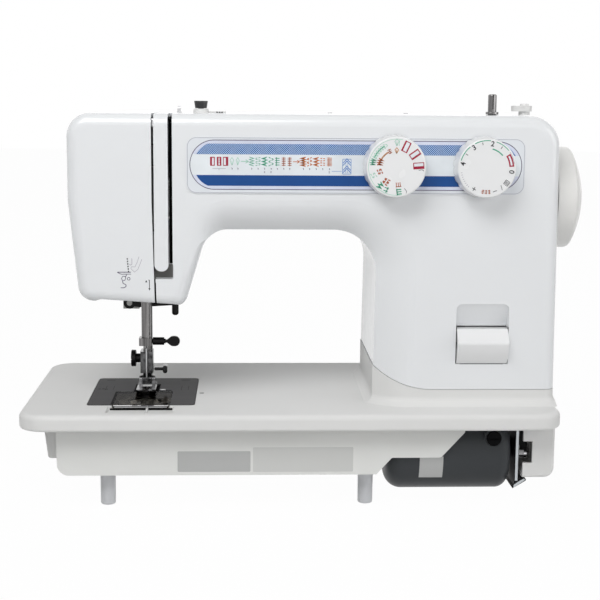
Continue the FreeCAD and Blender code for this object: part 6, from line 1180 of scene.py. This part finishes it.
@dataclass
class MotorPlate:
    """Bare plate wrapped round the front of the motor.

    Its sides are in millimetres from the motor's left end, and its angles in degrees above the
    level line through the motor's axis.
    """

    node: str = "motor_body"
    slot: str = "motor_grey"
    left: float = 22.7
    right: float = 39.1
    start_angle: float = -32.5
    stop_angle: float = 1.5
    thick: float = 0.12
    steps: int = 10

    def build(self) -> None:
        """Wrap the plate, in and out of the motor's skin by its thickness."""
        low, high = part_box(self.node)
        radius = (high.y - low.y) / 2 / MM
        axis = middle(self.node)
        section = ((self.left, -self.thick), (self.right, -self.thick),
                   (self.right, self.thick), (self.left, self.thick))
        rings: list[list[Vector]] = []
        for i in range(self.steps + 1):
            share = i / self.steps
            angle = math.radians(self.start_angle + (self.stop_angle - self.start_angle) * share)
            out = Vector((0, -math.cos(angle), math.sin(angle)))
            rings.append([Vector((low.x + u * MM, axis.y, axis.z)) + out * (radius + lift) * MM
                          for u, lift in section])
        Builder("motor_plate", ROOT, SILVER, self.slot).loft(rings).done()


@dataclass
class BedMarks:
    """Small marks on the bed and the needle plate, the trim round the hook cover, and painted shade and
    a painted highlight beside that cover.

    The guide lines run from guide_low to guide_high on the plate. The nib stands right of the
    cover's middle by nib_shift, runs nib_run to the front and rises nib_height above the recess.
    """

    bed: str = "bed"
    plate: str = "needle_plate"
    cover: str = "hook_cover"
    dash_start: Point2 = (120.7, 67.0)
    dash_length: float = 3.0
    dash_width: float = 1.9
    guide_low: float = 46.0
    guide_high: float = 60.0
    slit_width: float = 1.7
    slit_gap: float = 0.1
    gap_height: float = 1.5
    recess_depth: float = 2.6
    nib_width: float = 1.6
    nib_shift: float = 4.4
    nib_run: float = 15.0
    nib_height: float = 1.3

    def build(self) -> None:
        """Add the marks."""
        self._dash()
        self._guide_lines()
        self._cover_edge()
        self._cover_slit()
        self._cover_gap()
        self._nib()

    def _cover_width(self) -> float:
        """Width of the hook cover in millimetres."""
        low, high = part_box(self.cover)
        return (high.x - low.x) / MM

    def _nib_sides(self) -> Point2:
        """Left and right side of the nib, from the hook cover's left side."""
        centre = self._cover_width() / 2 + self.nib_shift
        return centre - self.nib_width / 2, centre + self.nib_width / 2

    def _dash(self) -> None:
        """Lay the short grey dash on the bed beside the plate."""
        low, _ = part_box(self.bed)
        u, v = self.dash_start
        dash = Builder("bed_dash", ROOT, ETCH_AND_GAP_SHADE, "bed_white")
        dash.line(level_plane(low.x, low.y, bed_top()), [(u, v), (u + self.dash_length, v)],
                  self.dash_width, lift=BAND_LIFT, root=ETCH_DEPTH).done()

    def _guide_lines(self) -> None:
        """Engrave the seam guide lines on the plate, and the three short marks beside them."""
        plane = top_plane(self.plate)
        lines = Builder("plate_lines", ROOT, ETCH_AND_GAP_SHADE, "plate_steel")
        for u in (8.0, 13.5, 63.0, 68.0):
            path = [(u, self.guide_low), (u, self.guide_high)]
            lines.line(plane, path, FINE, lift=BORDER_LIFT, root=ETCH_DEPTH)
        for start, stop in (((2.6, 49.3), (4.4, 49.7)), ((5.4, 50.4), (7.2, 49.0)),
                            ((7.6, 49.2), (9.8, 49.0))):
            lines.line(plane, [start, stop], 1.6, lift=BORDER_LIFT, root=ETCH_DEPTH)
        lines.done()

    def _cover_edge(self) -> None:
        """Lay the bright strip along the hook cover's front edge, on its top and on its front."""
        width = self._cover_width()
        edge = Builder("cover_edge", "bobbin_cover", CHROME, "clear_cover")
        top = rounded(0.6, 0.2, width - 0.6, 2.2, 0.3, 3)
        edge.fill(top_plane(self.cover), top, root=-LINE_LIFT)
        edge.fill(front_plane(self.cover), rounded(1.6, 0.2, width - 1.6, 1.0, 0.2, 3))
        edge.done()

    def _cover_slit(self) -> None:
        """Paint the shade of the slit between the plate and the hook cover's left side as a dark strip.
        """
        low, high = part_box(self.cover)
        plane = top_plane(self.plate)
        left = (low.x - plane.corner.x) / MM - self.slit_width - self.slit_gap
        run = (high.y - plane.corner.y) / MM
        slit = Builder("cover_slit_shade", ROOT, PAINTED_SLOT_SHADE, "plate_steel")
        shape = rounded(left, 0.6, left + self.slit_width, run, 0.2, 3)
        slit.fill(plane, shape, lift=BORDER_LIFT).done()

    def _cover_gap(self) -> None:
        """Paint the shade of the gap under the hook cover's front edge as a dark strip, but for where
        the nib passes.
        """
        left, right = self._nib_sides()
        wall = front_plane(self.cover)
        gap = Builder("cover_gap_shade", ROOT, PAINTED_SLOT_SHADE, "bed_white")
        for start, stop in ((-2.2, left), (right, self._cover_width() + 2.4)):
            gap.fill(wall, rounded(start, -self.gap_height, stop, -0.05, 0.1, 3), lift=0.12)
        gap.done()

    def _nib(self) -> None:
        """Set the pale nib across the recess in front of the hook cover; its light colour paints the
        highlight there.
        """
        left, right = self._nib_sides()
        low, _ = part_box(self.cover)
        floor = level_plane(low.x, low.y, bed_top() - self.recess_depth * MM)
        shape = rounded(left, -self.nib_run, right, -0.3, 0.6, 4)
        nib = Builder("recess_highlight_nib", ROOT, HIGHLIGHT_NIB, "bed_white")
        nib.block(floor, shape, -0.1, self.nib_height, 0.25).done()


@dataclass
class StrapTrim:
    """Bright cut edges of the motor strap and of its bent foot.

    The upright stands as far from the strap's left side as run, less its own thickness.
    """

    node: str = "motor_strap"
    run: float = 12.6
    thick: float = 2.6

    def build(self) -> None:
        """Lay both edges on the strap's front."""
        plane = front_plane(self.node)
        low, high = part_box(self.node)
        left, right = self.run - self.thick + 0.5, self.run - 0.3
        base, top = 5.6, (high.z - low.z) / MM - 2.2
        edge = Builder("strap_edge", ROOT, ZINC, "chrome_trim")
        edge.fill(plane, [(left, base), (right, base), (right, top), (left, top)])
        edge.fill(plane, [(9.6, 0.5), (17.8, 6.0), (17.0, 7.2), (12.6, 4.6), (9.9, 2.6)])
        edge.done()


@dataclass(frozen=True)
class Shade:
    """One sheet behind the front face that paints the shade of an opening in the head.

    Its depth is how far behind the face it stands, and its sides run across from the needle plate's
    left side and up from the bed, all in millimetres.
    """

    name: str
    finish: Finish
    depth: float
    sides: Sides


@dataclass
class HeadShades:
    """Painted shade behind the thread channel, the head's seam and the tongue's pocket."""

    face: str = "face_cover"
    plate: str = "needle_plate"
    corner: float = 0.3
    shades: tuple[Shade, ...] = (
        Shade("channel_shade", PAINTED_SLOT_SHADE, 22.0, (56.9, 88.7, 60.8, 195.8)),
        Shade("seam_shade", PAINTED_SLOT_SHADE, 5.0, (46.4, 70.9, 49.6, 87.8)),
        Shade("pocket_shade_back", PAINTED_POCKET_SHADE, 6.0, (48.3, 88.7, 59.9, 98.0)))

    def build(self) -> None:
        """Set the sheets of painted shade."""
        left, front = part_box(self.plate)[0].x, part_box(self.face)[0].y
        for shade in self.shades:
            plane = Plane(Vector((left, front + shade.depth * MM, bed_top())))
            piece = Builder(shade.name, ROOT, shade.finish, "cover_white")
            piece.fill(plane, rounded(*shade.sides, self.corner, 3), lift=BAR_LIFT).done()


@dataclass
class LeverShadow:
    """Painted shade: a dark line round the reverse lever's window, where the gap falls into shade."""

    cover: str = "front_cover"
    lever: str = "reverse_lever"
    skin: float = 0.15
    margin: float = 0.3
    corner: float = 1.2
    width: float = 0.75
    rise: float = 25.6

    def build(self) -> None:
        """Draw the line on the front cover."""
        low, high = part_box(self.lever)
        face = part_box(self.cover)[0].y + self.skin * MM
        right = (high.x - low.x) / MM + self.margin
        path = [(-self.margin, self.rise), (-self.margin, self.corner), (0.8, -self.margin),
                (right - self.corner, -self.margin), (right, self.corner), (right, self.rise)]
        line = Builder("lever_gap_shade", ROOT, ETCH_AND_GAP_SHADE, "cover_white")
        line.line(Plane(Vector((low.x, face, low.z))), path, self.width).done()


@dataclass
class KnobPlate:
    """Small white plate with three dark marks beside the tension knob."""

    node: str = "knob_base"
    slot: str = "cream_plastic"
    reach: float = 12.0
    depth: float = 7.0
    height: float = 1.1
    mark_width: float = 1.3

    def build(self) -> None:
        """Set the plate on the arm's top."""
        low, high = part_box(self.node)
        centre = middle(self.node)
        half = self.depth / 2
        plate = Builder("knob_plate", ROOT, CREAM, self.slot)
        plate.block(level_plane(high.x, centre.y, low.z),
                    rounded(0.2, -half, self.reach, half, 1.5), -0.1, self.height, 0.3).done()
        front = Plane(Vector((high.x, centre.y - half * MM, low.z)))
        marks = Builder("knob_marks", ROOT, INK_BLACK, self.slot)
        for u in (5.2, 7.0, 8.8):
            marks.fill(front, rounded(u, 0.15, u + self.mark_width, 0.85, 0.1, 3), lift=BOX_LIFT)
        marks.done()


class Assembly(Protocol):
    """A sub-assembly that adds its own pieces."""

    def build(self) -> None:
        """Add the pieces."""


def assemblies() -> tuple[Assembly, ...]:
    """Every dressed sub-assembly, in building order."""
    return (PanelPrint(), SelectorPrint(), LengthPrint(), FaceMarks(), PanPlates(), MotorPlate(),
            BedMarks(), StrapTrim(), HeadShades(), LeverShadow(), KnobPlate())


# ---- stage ---------------------------------------------------------------------------------------
@dataclass(frozen=True)
class Softbox:
    """One rectangular soft lamp."""

    name: str
    place: Point3
    size: Point2
    power: float

    def hang(self, aim: Point3) -> None:
        """Hang the lamp.

        Args:
            aim: the point that it faces.
        """
        data = bpy.data.lights.new(self.name, "AREA")
        data.shape = "RECTANGLE"
        data.size, data.size_y = self.size
        data.energy = self.power
        lamp = bpy.data.objects.new(self.name, data)
        lamp.location = self.place
        lamp.rotation_mode = "QUATERNION"
        lamp.rotation_quaternion = (Vector(aim) - Vector(self.place)).to_track_quat("-Z", "Y")
        bpy.context.scene.collection.objects.link(lamp)


SOFTBOXES = (Softbox("key_softbox", (-0.45, -0.95, 1.3), (1.0, 0.8), 14.5),
             Softbox("front_softbox", (0.3, -2.2, 0.75), (2.2, 1.0), 4.0),
             Softbox("top_softbox", (0.0, 0.1, 1.9), (2.0, 1.4), 1.5),
             Softbox("right_fill", (1.7, -0.9, 0.7), (1.2, 1.2), 9.0),
             Softbox("rear_fill", (0.5, 1.8, 0.6), (2.0, 1.0), 2.2))


@dataclass
class Studio:
    """Plain pale floor, soft light and the camera."""

    eye: Vector = field(default_factory=lambda: Vector((-0.04337, -0.94025, 0.28202)))
    yaw: float = -2.46
    pitch: float = 8.902
    roll: float = 0.457
    lens: float = 78.0
    lamp_aim: Point3 = (0.0, 0.0, 0.12)
    floor_size: float = 12.0
    floor_grey: Colour = (0.82, 0.82, 0.82)
    floor_roughness: float = 0.9
    floor_white: float = 0.98
    air_level: float = 0.18

    def build(self) -> None:
        """Make the whole stage."""
        self._floor()
        self._world()
        for softbox in SOFTBOXES:
            softbox.hang(self.lamp_aim)
        self._camera()

    def _floor(self) -> None:
        """Lay the floor, which shows white around the machine and keeps its shadow."""
        half = self.floor_size / 2
        mesh = bmesh.new()
        corners = ((-half, -half), (half, -half), (half, half), (-half, half))
        mesh.faces.new([mesh.verts.new((x, y, 0.0)) for x, y in corners])
        data = bpy.data.meshes.new("floor")
        mesh.to_mesh(data)
        mesh.free()
        data.materials.append(self._floor_material())
        floor = bpy.data.objects.new("floor", data)
        bpy.context.scene.collection.objects.link(floor)

    def _floor_material(self) -> bpy.types.Material:
        """Make the pale floor's material, which the camera sees near white.

        Returns:
            The floor's material.
        """
        material = bpy.data.materials.new("floor_paper")
        material.use_nodes = True
        nodes, links = material.node_tree.nodes, material.node_tree.links
        shader = nodes["Principled BSDF"]
        shader.inputs["Base Color"].default_value = (*self.floor_grey, 1.0)
        shader.inputs["Roughness"].default_value = self.floor_roughness
        glow = nodes.new("ShaderNodeEmission")
        glow.inputs["Color"].default_value = (1.0, 1.0, 1.0, 1.0)
        share = nodes.new("ShaderNodeMath")
        share.operation = "MULTIPLY"
        share.inputs[1].default_value = self.floor_white
        mix = nodes.new("ShaderNodeMixShader")
        links.new(self._seen_rays(material.node_tree), share.inputs[0])
        links.new(share.outputs["Value"], mix.inputs["Fac"])
        links.new(shader.outputs["BSDF"], mix.inputs[1])
        links.new(glow.outputs["Emission"], mix.inputs[2])
        links.new(mix.outputs["Shader"], nodes["Material Output"].inputs["Surface"])
        return material

    def _seen_rays(self, tree: bpy.types.NodeTree) -> bpy.types.NodeSocket:
        """Rays that show the background as it is: straight, mirrored or through glass.

        Args:
            tree: the node tree to add the nodes to.

        Returns:
            A socket that is 1 for those rays and 0 for the rest.
        """
        path = tree.nodes.new("ShaderNodeLightPath")
        seen = path.outputs["Is Camera Ray"]
        for name in ("Is Glossy Ray", "Is Transmission Ray"):
            either = tree.nodes.new("ShaderNodeMath")
            either.operation = "MAXIMUM"
            tree.links.new(seen, either.inputs[0])
            tree.links.new(path.outputs[name], either.inputs[1])
            seen = either.outputs["Value"]
        return seen

    def _world(self) -> None:
        """Even studio air: white to the camera and in reflections, softer as a light."""
        world = bpy.data.worlds.new("studio_air")
        bpy.context.scene.world = world
        world.use_nodes = True
        nodes, links = world.node_tree.nodes, world.node_tree.links
        air = nodes["Background"]
        air.inputs["Color"].default_value = (1.0, 1.0, 1.0, 1.0)
        seen = nodes.new("ShaderNodeMapRange")
        seen.inputs["To Min"].default_value = self.air_level
        seen.inputs["To Max"].default_value = 1.0
        links.new(self._seen_rays(world.node_tree), seen.inputs["Value"])
        links.new(seen.outputs["Result"], air.inputs["Strength"])

    def _camera(self) -> None:
        """Set the camera at the user's place in front of the bed."""
        yaw, pitch, roll = (math.radians(a) for a in (self.yaw, self.pitch, self.roll))
        level = Vector((-math.sin(yaw), math.cos(yaw), 0.0))
        right = Vector((math.cos(yaw), math.sin(yaw), 0.0))
        up = Vector((0.0, 0.0, 1.0))
        forward = level * math.cos(pitch) - up * math.sin(pitch)
        above = level * math.sin(pitch) + up * math.cos(pitch)
        across = right * math.cos(roll) + above * math.sin(roll)
        upright = above * math.cos(roll) - right * math.sin(roll)
        data = bpy.data.cameras.new("user_view")
        data.lens = self.lens
        camera = bpy.data.objects.new("user_view", data)
        turn = Matrix((across, upright, -forward)).transposed().to_4x4()
        camera.matrix_world = Matrix.Translation(self.eye) @ turn
        bpy.context.scene.collection.objects.link(camera)
        bpy.context.scene.camera = camera


def main() -> None:
    """Dress the machine, print its marks, fit its trim and set the stage."""
    logging.basicConfig(level=logging.INFO)
    bpy.context.scene.view_settings.view_transform = "Standard"
    dress_nodes()
    for assembly in assemblies():
        assembly.build()
        LOG.info("%s done", type(assembly).__name__)
    Studio().build()


if __name__ == "__main__":
    main()
